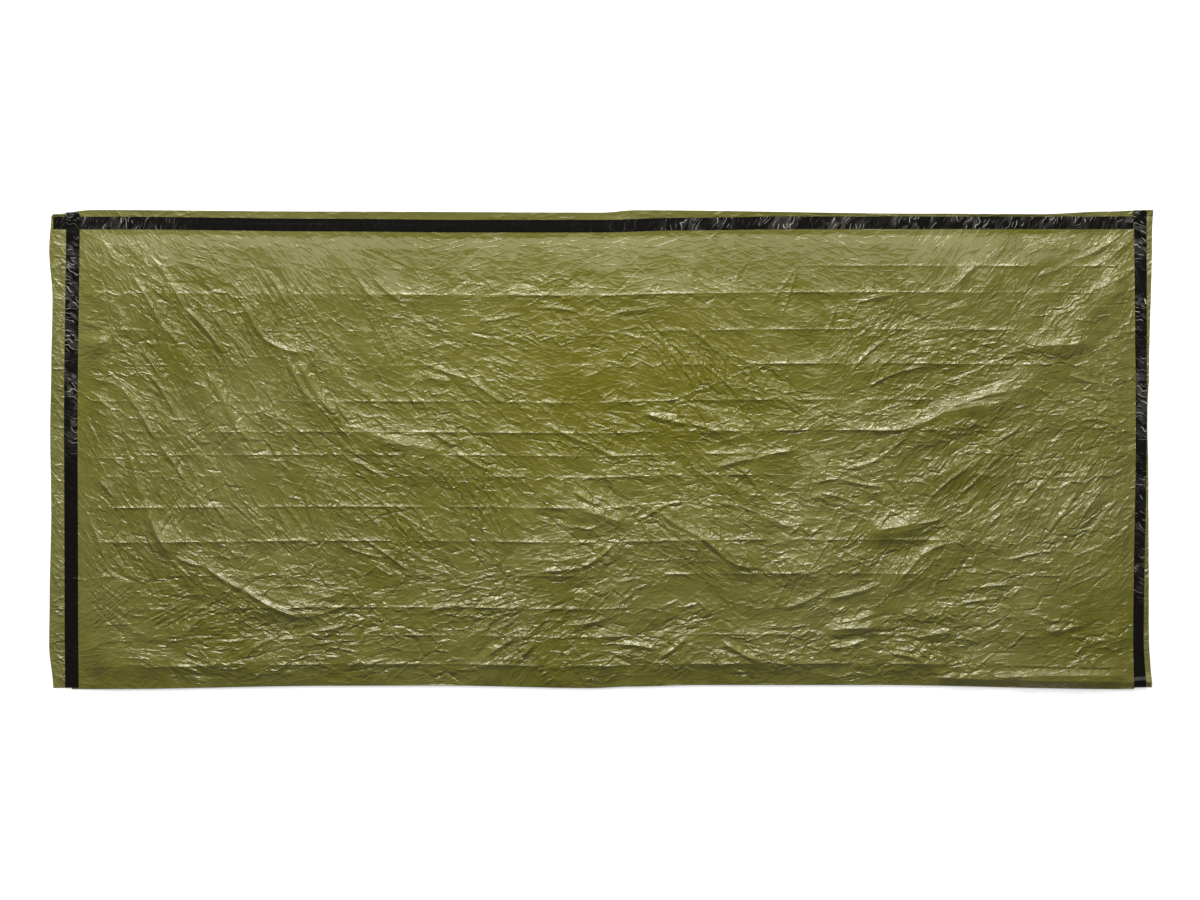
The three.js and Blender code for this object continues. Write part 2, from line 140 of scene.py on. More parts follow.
# Sharp folds that stand on them, in the same columns, with a gain of their own.
SHARP_GAIN = 2.6
SHARP_FOLDS = [
    # foot end, steep, hanging from the top left corner
    (-969, 412, -937, 360, 2, 0.8, 6), (-931, 406, -883, 360, 3, 0.8, 6),
    (-864, 368, -797, 264, 4, 1.2, 9), (-797, 268, -726, 187, 4, 1.7, 9),
    (-897, 325, -845, 239, 3, 1.2, 8), (-845, 239, -810, 201, 2, 1.0, 7),
    (-778, 421, -692, 393, -3, 0.9, 9), (-816, 360, -740, 335, 4, 1.0, 8),
    (-682, 277, -650, 216, -3, 1.5, 8), (-650, 216, -577, 187, -6, 1.1, 9),
    (-638, 335, -604, 277, 2, 1.0, 7), (-600, 172, -558, 95, -3, 1.4, 9),
    (-577, 162, -510, 66, -5, 1.5, 10), (-753, 143, -701, 47, 3, 1.5, 10),
    (-701, 47, -672, 18, -2, 1.0, 7), (-880, 187, -849, 143, 2, 1.0, 7),
    (-864, 143, -816, 66, 3, 1.2, 8), (-918, 118, -855, 18, 4, 1.2, 8),
    (-490, 360, -433, 287, -3, 0.8, 7), (-433, 325, -385, 287, -3, 0.8, 7),
    (-902, -10, -874, -97, -3, 1.4, 12), (-874, -97, -826, -203, -5, 1.9, 14),
    (-845, 9, -784, -87, 4, 1.4, 9), (-816, -203, -759, -222, -4, 1.2, 8),
    (-759, -222, -682, -270, -4, 1.5, 9), (-682, -270, -577, -323, -6, 1.7, 10),
    (-577, -323, -490, -299, -5, 1.1, 8), (-605, -107, -567, -164, 2, 1.0, 6),
    (-567, -87, -538, -183, -2, 0.9, 6), (-452, -174, -362, -239, 1, 1.1, 5),
    (-500, -183, -433, -206, -2, 0.9, 6), (-423, -97, -366, -174, 2, 0.8, 5),
    (-960, -59, -931, -97, 2, 1.0, 7), (-979, -135, -954, -203, 2, 1.2, 9),
    (-740, -107, -720, -135, 1, 0.8, 5), (-701, -235, -663, -203, 1, 0.6, 5),
    (-807, -356, -755, -308, -3, 1.0, 8), (-615, -366, -577, -366, 2, 0.9, 6),
    (-548, -350, -490, -337, -3, 1.0, 7), (-672, -385, -625, -362, 2, 0.9, 7),
    (-807, -414, -768, -427, 1, 0.9, 7), (-600, -320, -530, -318, 3, 1.2, 8),
    (-1000, 245, -960, 232, 2, 1.0, 9), (-1000, 212, -955, 205, 2, 1.2, 12),
    (-995, 150, -940, 128, -3, 0.8, 8), (-990, 60, -965, 15, 3, 1.1, 6),
    # middle
    (-328, 162, -251, 137, -2, 1.2, 10), (-251, 137, -194, 95, -2, 1.2, 10),
    (-98, 47, -21, 14, -3, 1.2, 9), (-21, 14, 36, -16, -2, 1.0, 8),
    (84, 70, 170, 47, -3, 1.6, 9), (170, 47, 228, 30, 2, 1.0, 8),
    (-328, 37, -280, 9, -2, 1.3, 9), (-280, -1, -213, -39, -3, 1.1, 8),
    (-50, -78, -2, -107, -2, 1.4, 10), (-2, -107, 46, -155, 3, 1.4, 10),
    (71, -135, 103, -116, -2, 1.2, 6), (103, -116, 155, -103, 3, 1.1, 6),
    (75, -135, 98, -183, 1, 0.9, 5), (117, -126, 190, -170, -3, 1.4, 9),
    (190, -170, 238, -212, 2, 1.5, 7), (238, -212, 295, -232, -3, 1.1, 8),
    (224, -36, 295, -20, 2, 1.2, 8), (295, -20, 366, -5, 2, 1.3, 8),
    (262, -36, 320, -107, 3, 1.0, 6), (232, -107, 301, -126, 3, 1.2, 9),
    (301, -126, 362, -151, -3, 1.3, 9), (-107, -231, -40, -224, -2, 1.2, 7),
    (-40, -224, 21, -183, -5, 1.4, 7), (-213, -395, -165, -362, 2, 1.2, 9),
    (-165, -408, -126, -370, -2, 1.2, 9), (36, -375, 103, -385, 4, 1.4, 8),
    (113, -400, 161, -366, -3, 1.2, 8), (238, -375, 305, -410, -3, 1.4, 8),
    (-308, -39, -251, -135, 2, 0.8, 5), (-264, -30, -222, -135, -2, 0.8, 5),
    (103, 220, 170, 133, 2, 0.8, 5), (170, 229, 218, 187, 2, 0.9, 5),
    (140, 200, 196, 118, 2, 0.7, 5), (196, 160, 262, 100, 3, 0.8, 5),
    (250, 165, 315, 105, 3, 0.8, 5), (-230, 250, -160, 262, -2, 0.8, 6),
    (-120, 275, -50, 268, 3, 0.9, 6), (20, 262, 84, 268, 3, 0.9, 6),
    (-480, -20, -420, -52, 2, 1.0, 7), (-430, 30, -380, 5, -2, 1.1, 7),
    (-60, -335, 10, -322, -3, 1.0, 8), (-330, -312, -260, -300, 3, 1.1, 8),
    # mouth end, rising to the top right corner
    (684, 316, 717, 348, 2, 1.3, 8), (717, 348, 774, 387, -3, 1.2, 9),
    (487, 277, 554, 293, 2, 1.2, 6), (483, 153, 538, 204, 3, 1.3, 6),
    (512, 118, 563, 143, 2, 1.2, 6), (563, 143, 630, 156, 3, 1.0, 6),
    (506, 34, 582, 37, -3, 1.3, 9), (582, 37, 659, 72, -3, 1.7, 12),
    (659, 72, 774, 110, 4, 1.6, 12), (860, 181, 899, 229, 1, 1.2, 6),
    (812, 201, 856, 229, 2, 1.1, 9), (985, 320, 1019, 345, -2, 1.2, 7),
    (688, -87, 736, -39, -2, 1.1, 6), (736, -39, 764, -11, 1, 1.0, 6),
    (630, -97, 697, -39, 3, 1.0, 6), (764, 18, 803, 47, -2, 0.9, 6),
    (477, -39, 535, -20, -2, 1.1, 7), (535, -20, 582, 18, 2, 1.0, 6),
    (410, -68, 458, -59, 2, 1.1, 6), (458, -59, 535, -74, -3, 1.1, 6),
    (420, -87, 492, -107, 2, 1.0, 5), (515, -164, 554, -120, -3, 1.4, 9),
    (554, -120, 592, -145, 2, 1.2, 9), (592, -145, 650, -135, -3, 1.2, 7),
    (362, -164, 381, -151, 0, 1.2, 5), (381, -151, 400, -168, 0, 1.2, 5),
    (400, -168, 423, -151, 0, 1.2, 5), (851, -168, 889, -116, 2, 1.1, 6),
    (889, -116, 908, -87, 1, 1.0, 6), (918, -135, 956, -78, 2, 0.9, 5),
    (927, -174, 985, -97, 2, 0.9, 6), (799, -120, 851, -59, 3, 1.0, 6),
    (745, -145, 764, -126, 1, 0.9, 5), (573, -251, 611, -208, -2, 1.2, 8),
    (611, -208, 659, -183, 2, 1.1, 8), (352, -308, 439, -270, -4, 1.1, 9),
    (439, -289, 535, -260, -4, 1.1, 8), (448, -337, 525, -318, -4, 1.4, 12),
    (707, -270, 784, -260, 3, 1.0, 6), (688, -299, 745, -289, 2, 1.0, 6),
    (860, -347, 927, -331, -3, 1.2, 10), (764, -437, 1018, -430, 3, 1.7, 12),
    (784, -212, 870, -193, 3, 1.0, 5), (560, -395, 620, -410, 3, 1.1, 7),
    (440, -385, 500, -372, -3, 1.2, 7), (930, 60, 985, 45, 3, 0.8, 6),
    (900, 140, 960, 125, -2, 1.0, 7), (660, 190, 730, 178, 2, 0.9, 6),
    (1004, 416, 908, 362, 6, 1.3, 10), (1012, 400, 935, 345, 6, 1.2, 9),
    (908, 362, 830, 330, 4, 1.0, 8),
    # broad flat facets, which catch the light whole
    (812, 196, 925, 201, 0, 2.3, 27), (-1003, 200, -945, 204, 0, 2.4, 24),
    (850, 372, 990, 380, 0, 0.5, 24), (636, 64, 772, 90, 2, 1.9, 24),
    (520, -162, 602, -148, 3, 2.3, 24),
    (-46, -112, 44, -142, 3, 2.1, 22), (-337, 140, -285, 132, 0, 1.2, 16),
    (-423, 14, -308, -3, 2, 1.5, 18), (435, -350, 527, -344, 0, 2.2, 20),
    (628, -357, 676, -352, 0, 1.7, 16),
]

# Creases that run on through the taped ends and the margins, in the same columns, no gain.
# The last three are the billow along the mouth end of the long fold.
CROSSINGS = [
    (-1058, -245, -985, -247, 0, 1.1, 3), (-1050, -57, -1006, -64, 0, 0.8, 3),
    (-1034, -89, -1004, -84, 0, 0.8, 3), (-1058, 345, -1030, 358, 0, 1.2, 5),
    (-1056, 190, -1032, 180, 0, 1.0, 4), (-1056, 122, -1030, 112, 0, 0.9, 4),
    (-1055, -28, -1032, -38, 0, 0.9, 3), (-1056, -108, -1034, -100, 0, 1.0, 4),
    (-1056, -302, -1030, -304, 0, 0.8, 3), (-1056, -392, -1032, -400, 0, 1.0, 4),
    (-1050, 393, -1026, 383, 2, 1.1, 4), (-1054, 330, -1034, 300, 2, 1.0, 5),
    (992, 289, 1056, 290, 0, 0.9, 3), (998, 224, 1056, 224, 0, 1.0, 3),
    (1004, 342, 1050, 333, 4, 1.4, 6), (1000, 37, 1056, 38, 0, 0.9, 3),
    (988, -234, 1050, -232, 2, 1.1, 3), (980, -295, 1056, -296, 0, 0.9, 3),
    (1014, 396, 1050, 380, 2, 1.1, 4), (1020, 374, 1046, 360, 0, 1.1, 4),
    (1018, 160, 1046, 128, 2, 1.0, 4), (1018, -120, 1046, -150, 0, 0.9, 4),
    (650, -440, 780, -442, 0, 5.4, 18), (780, -442, 1002, -441, 0, 7.4, 23),
    (1002, -444, 1060, -441, 0, 4.6, 16),
]

# Which way the small wrinkles run: x, y, degrees from the bag's length.
RUN = [
    (-941, 383, -57), (-864, 364, -60), (-845, 287, -60), (-768, 249, -58), (-864, 133, -60),
    (-730, 95, -62), (-902, 37, -50), (-787, -59, -48), (-672, 229, -58), (-577, 95, -45),
    (-519, 76, -30), (-615, 287, -60), (-481, 306, -45), (-423, 210, 0), (-385, 18, -30),
    (-577, -39, -20), (-941, 229, -12), (-965, 160, -8), (-960, 120, -15), (-902, -97, -65),
    (-845, -174, -60), (-711, -251, -35), (-577, -308, -12), (-768, -327, 5), (-941, -289, 30),
    (-481, -289, 3), (-385, -404, 3), (-289, 325, 0), (-193, 133, -20), (-79, 37, -40),
    (-2, 95, 20), (190, 172, -55), (75, -1, -15), (-2, -212, 15), (-232, -59, -65),
    (190, -59, -30), (285, -59, -50), (190, -174, -40), (36, -289, 50), (94, -366, 0),
    (477, 325, -50), (573, 306, 15), (688, 345, 35), (573, 172, 30), (669, 95, 20),
    (764, 37, 40), (669, -39, 35), (764, -78, 38), (860, -97, 48), (937, -116, 55),
    (573, -251, 38), (688, -193, 30), (458, -289, 28), (381, -366, 20), (515, -327, 15),
    (669, -385, 0), (860, -251, 8), (860, 18, 15), (956, 95, -10), (956, 287, 20),
    (975, 383, 50), (956, -404, 5), (-200, 350, -4), (100, 340, 4), (300, 330, -12),
]

# Wrinkles run at about these four angles, in degrees; each place takes most of the nearest.
LEANS = (-58, -28, 2, 40)
LUMPS = ((85, 30), (34, 11))  # crumpled facets in the mesh, broad and small: long, short
BUNCHES, ZIGZAGS = 640, 1300  # small folds of the front layer

# Crinkles of the margins: left, right, low, high, how many, run in degrees, spread, longest,
# tallest.
MARGIN_FOLDS = [
    (EDGE["left"], -1030, EDGE["fold"], EDGE["top"], 240, -50, 28, 34, 1.8),
    (EDGE["left"], -1030, EDGE["fold"], EDGE["top"], 60, 5, 12, 40, 1.8),
    (1022, EDGE["right"], EDGE["fold"], EDGE["top"], 240, 60, 50, 26, 1.8),
    (EDGE["left"], EDGE["right"], 442, EDGE["top"], 190, 0, 9, 60, 0.9),
    (EDGE["left"], EDGE["right"], EDGE["fold"], EDGE["top"], 260, 0, 90, 60, 1.2),
]

# Detail that is left to the finish. The real crinkles are finer still, and are drawn only as
# fine as they show.
FACETS = ((50, 20, 0.09), (26, 10, 0.11))  # small facets: long, short, steepest slope across
FINE_CREASE = (44, 13, 2.2)  # creases between them: long, short, reach to either side
# A tape's crushed facets, which the finish lightens as painted sheen.
TAPE_FACET = (60, 20, 8)  # crushed facets of a tape: degrees from its run, long, short

TAPE_STEP = 1.4  # spacing of a tape's points along it
TAPE_ROWS = 13  # how many points it has across
TAPE_CLEAR = {"usual": 0.75, "least": 0.35}  # how high it lies over what it is stuck to
PATH_STEP = {"down": 15, "along": 20}  # spacing of the points of a tape's path
SEED = 11


# ---------------------------------------------------------------- small helpers
def ease(t):
    """Smooth step from 0 to 1."""
    t = np.clip(t, 0, 1)
    return t * t * (3 - 2 * t)


def ramp(value, start, over):
    """0 up to start, then straight up to 1 over that distance."""
    return np.clip((value - start) / over, 0, 1)


def read(table, at):
    """A short table of (place, value) rows, eased between them."""
    places, values = (np.array(column, float) for column in zip(*table))
    at = np.clip(at, places[0], places[-1])
    k = np.clip(np.searchsorted(places, at, side="right") - 1, 0, len(places) - 2)
    share = (at - places[k]) / (places[k + 1] - places[k])
    return values[k] + (values[k + 1] - values[k]) * ease(share)


def between(knots, at):
    """Straight interpolation through (place, value) knots, whose values may be arrays."""
    out = knots[0][1] + 0.0 * at
    for (start, low), (end, high) in zip(knots, knots[1:]):
        out = np.where(at > start, low + (high - low) * ramp(at, start, end - start), out)
    return out


def waves(x, y, length, seed, count=6):
    """Smooth uneven noise of about that wavelength, within -1 and 1."""
    rng = np.random.default_rng(seed)
    total = 0.0
    for _ in range(count):
        turn, phase = rng.uniform(0, 2 * math.pi, 2)
        k = 2 * math.pi / (length * rng.uniform(0.7, 1.5))
        total = total + np.sin(k * (x * math.cos(turn) + y * math.sin(turn)) + phase)
    return total / count


def facets(s, t, seed, size=256):
    """Random heights at the points of a lattice of triangles, straight between them."""
    heights = np.random.default_rng(seed).uniform(-1, 1, (size, size))
    a = s - 0.5 * t
    i, j = np.floor(a), np.floor(t)
    p, q = a - i, t - j
    i, j = i.astype(int) % size, j.astype(int) % size
    i1, j1 = (i + 1) % size, (j + 1) % size
    near, far = heights[i, j], heights[i1, j1]
    east, north = heights[i1, j], heights[i, j1]
    lower = near + p * (east - near) + q * (north - near)
    upper = far + (1 - p) * (north - far) + (1 - q) * (east - far)
    return np.where(p + q < 1, lower, upper)


# ---------------------------------------------------------------- lie in the plane
def lie(u, v, front):
    """Where a point of the cut film comes to lie; front picks the layer, 0 to 1."""
    foot, mouth = read(FOOT_LINE, v), read(MOUTH_LINE, v)
    front_x = between([(FRONT["left"], foot), (FRONT["right"], read(FREE_EDGE, v))], u)
    half = FOOT_TAPE["wide"] / 2
    back_x = between([
        (EDGE["left"], read(LEFT_EDGE, v)),
        (FOOT_TAPE["x"] - half, foot), (FOOT_TAPE["x"] + half, foot),
        (MOUTH_TAPE["x"] - half, mouth), (MOUTH_TAPE["x"] + half, mouth),
        (EDGE["right"], read(RIGHT_EDGE, v)),
    ], u)
    seam = read(SEAM_LINE, u)
    half = TOP_TAPE["wide"] / 2
    along_y = between([
        (EDGE["fold"], read(FOLD_LINE, u)),
        (TOP_TAPE["y"] - half, seam), (TOP_TAPE["y"] + half, seam),
        (EDGE["top"], read(TOP_EDGE, u)),
    ], v)
    return u + back_x + (front_x - back_x) * front, v + along_y


# ---------------------------------------------------------------- run of the wrinkles
def wrinkle_run(u, v):
    """Direction of the small wrinkles, and how crushed the film is, at each place.

    The direction blends the rows of RUN and the sharp folds, the nearest most. The film is
    crushed on the sharp folds, and more on the tall ones.
    """
    cosine, sine, crush = (np.zeros(np.broadcast(u, v).shape) for _ in range(3))
    for x, y, degrees in RUN:
        pull = 1 / ((u - x) ** 2 + (v - y) ** 2 + 50.0 ** 2) ** 1.5
        cosine += pull * math.cos(math.radians(2 * degrees))
        sine += pull * math.sin(math.radians(2 * degrees))
    for x0, y0, x1, y1, _, rise, _ in SHARP_FOLDS:
        turn = 2 * math.atan2(y1 - y0, x1 - x0)
        near = (u - (x0 + x1) / 2) ** 2 + (v - (y0 + y1) / 2) ** 2
        pull = 0.7 / (near + 30.0 ** 2) ** 1.5
        cosine += pull * math.cos(turn)
        sine += pull * math.sin(turn)
        crush += 0.9 * rise * np.exp(-near / (2 * 34.0 ** 2))
    return np.degrees(0.5 * np.arctan2(sine, cosine)), np.clip(crush, 0, 1.6)


def lean_shares(turn):
    """How much of each lean a place with that wrinkle direction takes."""
    away = [np.abs((turn - lean + 90) % 180 - 90) for lean in LEANS]
    shares = np.array([np.exp(-(a / 24.0) ** 2) + 0.08 for a in away])
    return shares / shares.sum(0)


# ---------------------------------------------------------------- relief of the film
def fold_way(x0, y0, x1, y1):
    """A fold's length, and its direction."""
    length = max(math.hypot(x1 - x0, y1 - y0), 1e-6)
    return length, (x1 - x0) / length, (y1 - y0) / length


def fold_line(fold, shares):
    """Points on a fold's line at those shares of its length, and the way across it."""
    x0, y0, x1, y1, bow = fold[:5]
    _, dx, dy = fold_way(x0, y0, x1, y1)
    bulge = bow * 4 * shares * (1 - shares)
    return x0 + (x1 - x0) * shares - dy * bulge, y0 + (y1 - y0) * shares + dx * bulge, (-dy, dx)


def lift_of(folds, u, v, profile):
    """What the tallest of the folds adds at each of the points (u, v).

    The points are sorted along the bag, so that each fold looks only at those near it.
    """
    order = np.argsort(u)
    us, vs = u[order], v[order]
    added = np.zeros(len(u))
    for x0, y0, x1, y1, bow, rise, wide in folds:
        reach = wide + abs(bow)
        first, last = np.searchsorted(us, (min(x0, x1) - reach, max(x0, x1) + reach))
        band = vs[first:last]
        near = first + np.nonzero((band > min(y0, y1) - reach) & (band < max(y0, y1) + reach))[0]
        if not len(near):
            continue
        x, y = us[near] - x0, vs[near] - y0
        length, dx, dy = fold_way(x0, y0, x1, y1)
        along = np.clip((x * dx + y * dy) / length, 0, 1)
        bulge = bow * 4 * along * (1 - along)
        away = np.hypot(x - dx * along * length + dy * bulge, y - dy * along * length - dx * bulge)
        taper = np.minimum(1, 0.45 + 4 * np.minimum(along, 1 - along))
        lift = rise * taper * profile(np.clip(away / wide, 0, 1))
        added[near] = np.maximum(added[near], lift)
    back_in_order = np.empty_like(added)
    back_in_order[order] = added
    return back_in_order


def rounded(away):
    """Profile of a soft fold: 1 on its line, 0 at its edge."""
    return (1 - away * away) ** 2


def tent(away):
    """Profile of a sharp fold."""
    return 1 - away


def crease_lift(u, v):
    """Pressed creases, each a standing ridge, with the film sagging from one to the next."""
    (rise, flank), (crest, breadth) = CREASE["flank"], CREASE["crest"]
    stand, sag, lines = [], [], []
    for k, (y, lift, start, end) in enumerate(CREASES):
        beyond = np.maximum(np.maximum(start - u, u - end), 0)
        broken = np.clip(0.68 + 1.1 * waves(u, 0 * u, 130, SEED + k), 0.12, 1.3)
        stand.append((y, lift * (1 - 0.6 * ease(beyond / 250))))
        sag.append(broken * (1 - 0.75 * ease(beyond / 120)))
        lines.append(y + 1.2 * waves(u, 0 * u, 420, SEED + 40 + k))
    total = CREASE["lift"] * between(stand, v)
    for line, strong in zip(lines, sag):
        for side in (-1, 1):
            beyond = side * (v - line)
            near = np.where(beyond >= 0, np.clip(1 - beyond / flank, 0, 1), 0)
            total = total + rise * strong * near * near
        total = total + crest * strong * tent(np.clip(abs(v - line) / breadth, 0, 1))
    return total


def crossing_lift(u, v):
    """Creases that run through the taped ends; they die out in the turn of the long fold."""
    return lift_of(CROSSINGS, u, v, tent) * ramp(v, EDGE["fold"] + LEDGE, 6)


def crumple(u, v, shares, crush):
    """Small crushed facets, longer along the wrinkles than across them."""
    total = 0.0
    for k, (lean, share) in enumerate(zip(LEANS, shares)):
        turn = math.radians(lean)
        s = u * math.cos(turn) + v * math.sin(turn) + 22 * waves(u, v, 300, SEED + 60 + k, 4)
        t = v * math.cos(turn) - u * math.sin(turn) + 12 * waves(u, v, 240, SEED + 70 + k, 4)
        broad, small = (facets(s / long, t / short, SEED + 80 + 10 * size + k)
                        for size, (long, short) in enumerate(LUMPS))
        total = total + share * (1.7 * broad + (0.12 + 0.5 * crush) * small)
    return total / np.sqrt((shares ** 2).sum(0))


def small_folds():
    """Seeded small folds: bunches of straight parallel ones, and short zigzags.

    There are more of them where the film is crushed. Each is a row of a fold table, and
    the two lists that come back are the folds that stand up and those that dip.
    """
    rng = np.random.default_rng(SEED)
    ridges, valleys = [], []
    left, low = -1060, -460  # corner of a grid over the whole sheet
    turns, crushes = wrinkle_run(*np.meshgrid(np.arange(left, 1 - left, RUN_STEP),
                                              np.arange(low, 1 - low, RUN_STEP)))

    def somewhere(least):
        """A random place on the front layer, and the direction of its wrinkles."""
        while True:
            x = rng.uniform(FRONT["left"] + 6, FRONT["right"] + 5)
            y = rng.uniform(EDGE["fold"] + 6, TOP_TAPE["y"] - 15)
            at = int(round((y - low) / RUN_STEP)), int(round((x - left) / RUN_STEP))
            if rng.uniform(0, 1.2) < (least + crushes[at]) * crushed(y):
                return x, y, turns[at]

    for _ in range(BUNCHES):
        x, y, turn = somewhere(0.5)
        astray = rng.uniform() < 0.38
        turn = math.radians(turn + rng.normal(0, 50 if astray else 11))
        longest = 130 if abs(turn) > 0.55 else 70
        spacing = rng.uniform(7, 20)
        reach = rng.uniform(28, longest)
        height = rng.uniform(0.3, 1.35)
        for row in range(rng.integers(2, 7)):
            slip = rng.normal(0, 0.35 * reach)
            lean = turn + math.radians(rng.normal(0, 8))
            half = 0.5 * reach * rng.uniform(0.4, 1.1)
            cx = x - row * spacing * math.sin(turn) + slip * math.cos(turn)
            cy = y + row * spacing * math.cos(turn) + slip * math.sin(turn)
            dx, dy = half * math.cos(lean), half * math.sin(lean)
            to = ridges if rng.uniform() < 0.65 else valleys
            to.append((cx - dx, cy - dy, cx + dx, cy + dy, rng.uniform(-1.5, 1.5),
                       height * rng.uniform(0.6, 1.2), rng.uniform(2.2, 4.2)))
    for _ in range(ZIGZAGS):
        x, y, turn = somewhere(0.2)
        turn = math.radians(turn + rng.normal(0, 22))
        zig = math.radians(rng.uniform(10, 38)) * rng.choice((-1, 1))
        rise = rng.uniform(0.5, 1.7)
        wide = rng.uniform(2.2, 4.4)
        to = ridges if rng.uniform() < 0.7 else valleys
        for _ in range(rng.integers(3, 9)):
            step = rng.uniform(10, 32)
            x1, y1 = x + step * math.cos(turn + zig), y + step * math.sin(turn + zig)
            to.append((x, y, x1, y1, 0.0, rise, wide))
            x, y, zig = x1, y1, -zig
    return ridges, valleys


def margin_folds():
    """Crinkles of the back layer, nearly all in the margins that show beyond the tapes."""
    rng = np.random.default_rng(SEED + 2)
    ridges, valleys = [], []
    for left, right, low, high, count, run, spread, longest, tallest in MARGIN_FOLDS:
        for _ in range(count):
            x = rng.uniform(left, right)
            y = rng.uniform(low, high)
            turn = math.radians(rng.normal(run, spread))
            length = rng.uniform(10, longest)
            x1, y1 = x + length * math.cos(turn), y + length * math.sin(turn)
            to = ridges if rng.uniform() < 0.7 else valleys
            to.append((x, y, x1, y1, 0, tallest * rng.uniform(0.33, 1), rng.uniform(2.2, 4.5)))
    return ridges, valleys


def fold_radius(u):
    """The turn at the long fold is tight where the foot tape holds it."""
    share = ramp(u, FOOT_RISE[0], 60)
    return FOLD_RADIUS["taped"] + (FOLD_RADIUS["free"] - FOLD_RADIUS["taped"]) * share


def top_rise(u, v):
    """Share of the rise from a straight line just below the top tape: 0 to 1.

    It is steepest at that line, and steeper to the mouth.
    """
    steep = 0.36 + 0.1 * ramp(u, -700, 1500)
    knots = [(0, 0.0), (22, steep), (48, steep + 0.23), (80, steep + 0.4), (TOP_RISE[1], 1.0)]
    return between(knots, TOP_RISE[0] - v)


def crushed(v):
    """Crushed most along the long fold, least below the taped seam, about 1 between them."""
    return between([(EDGE["fold"], 1.45), (-270, 1.05), (180, 0.97), (FRONT["top"], 0.72)], v)


def stretch(u, v):
    """Where the top tape and the long fold hold the film straight and it crumples less: 0 to 1."""
    near_tape = 1 - ease(ramp(TOP_TAPE["y"] - v, 60, 70))
    below_tape = near_tape * ease(ramp(u, -1040, 420)) * (1 - ease(ramp(u, 860, 130)))
    along_fold = ease(ramp(u, 740, 120)) * (1 - ease(ramp(abs(v + 434), 10, 14)))
    return np.maximum(below_tape, along_fold)


def front_relief(u, v, ridges, valleys):
    """Height of the front layer at the points (u, v)."""
    foot_tape_edge = FOOT_TAPE["x"] + FOOT_TAPE["wide"] / 2
    top_tape_edge = TOP_TAPE["y"] - TOP_TAPE["wide"] / 2
    turn, crush = wrinkle_run(u, v)

    # the layer's level, from where it is held down to where it is free
    held = ramp(u, *FOOT_RISE) * top_rise(u, v) * ramp(v, *FOLD_RISE)
    droop = 1 - 0.4 * ease(ramp(u, FRONT["right"] - 45, 45))
    level_fold = BACK + 2 * fold_radius(u)
    level_seam = SEAM + 1.2 * ramp(u, MOUTH_TAPE["x"] - 28, 10)
    level_seam = level_seam - SEAM_DIP[0] * ease(ramp(top_tape_edge - v, 0, SEAM_DIP[1]))
    level = level_fold + (level_seam - level_fold) * ease((v - EDGE["fold"]) / 890)
    soft = MAIN_GAIN * lift_of(MAIN_FOLDS, u, v, rounded)
    main = np.clip(crease_lift(u, v) + soft, *RELIEF)

    # small folds and facets, which die out at the tapes and the long fold
    sharp = lift_of(ridges, u, v, tent) - lift_of(valleys, u, v, tent)
    small = crumple(u, v, lean_shares(turn), crush) + sharp
    from_tapes = np.minimum(u - foot_tape_edge, top_tape_edge - v)
    loose = 0.02 + 0.98 * ramp(from_tapes, -1, 45) ** 0.7 * ease(0.25 + ramp(v, EDGE["fold"], 30))
    loose = loose * (1 - 0.6 * stretch(u, v)) * crushed(v)
    height = level + held * ((LOFT + main) * droop - level) + loose * small
    return np.maximum(height, SEAM - SEAM_DIP[0]) + crossing_lift(u, v)


def back_relief(u, v, ridges, valleys):
    """Height of the back layer, which lies on the floor and is never below it."""
    beside = 1 + FOOT_TAPE["wide"] / 2
    above = TOP_TAPE["y"] + 1 + TOP_TAPE["wide"] / 2
    bare = (u < FOOT_TAPE["x"] - beside) | (v > above) | (u > MOUTH_TAPE["x"] + beside)
    bare &= abs(v - TOP_TAPE["y"]) > above - TOP_TAPE["y"]
    lumps = 0.35 * facets(u / 60, v / 22, SEED + 5)
    sharp = lift_of(ridges, u, v, tent) - 0.4 * lift_of(valleys, u, v, tent)
    height = np.maximum(BACK + (lumps + sharp) * np.where(bare, 1.0, 0.1), BACK_LEAST)
    height = height + MARGIN_CURL * ramp(v, above, 11)
    at_ends = abs(u) > 1000  # between the two ends, a crossing is the front layer's alone
    return height + crossing_lift(u, v) * at_ends


# ---------------------------------------------------------------- meshes
def mesh_object(name, points, faces):
    """A mesh object from an array of points, in metres, and an array of faces' corners."""
    mesh = bpy.data.meshes.new(name)
    mesh.vertices.add(len(points))
    mesh.vertices.foreach_set("co", points.astype(np.float32).ravel())
    mesh.loops.add(faces.size)
    mesh.loops.foreach_set("vertex_index", faces.astype(np.int32).ravel())
    mesh.polygons.add(len(faces))
    starts = np.arange(0, faces.size, faces.shape[1], dtype=np.int32)
    mesh.polygons.foreach_set("loop_start", starts)
    mesh.update(calc_edges=True)
    mesh.validate()
    piece = bpy.data.objects.new(name, mesh)
    bpy.context.scene.collection.objects.link(piece)
    return piece


def evenly(start, end, step):
    """Places from start to end, about a step apart."""
    return np.linspace(start, end, max(2, int(round(abs(end - start) / step)) + 1))


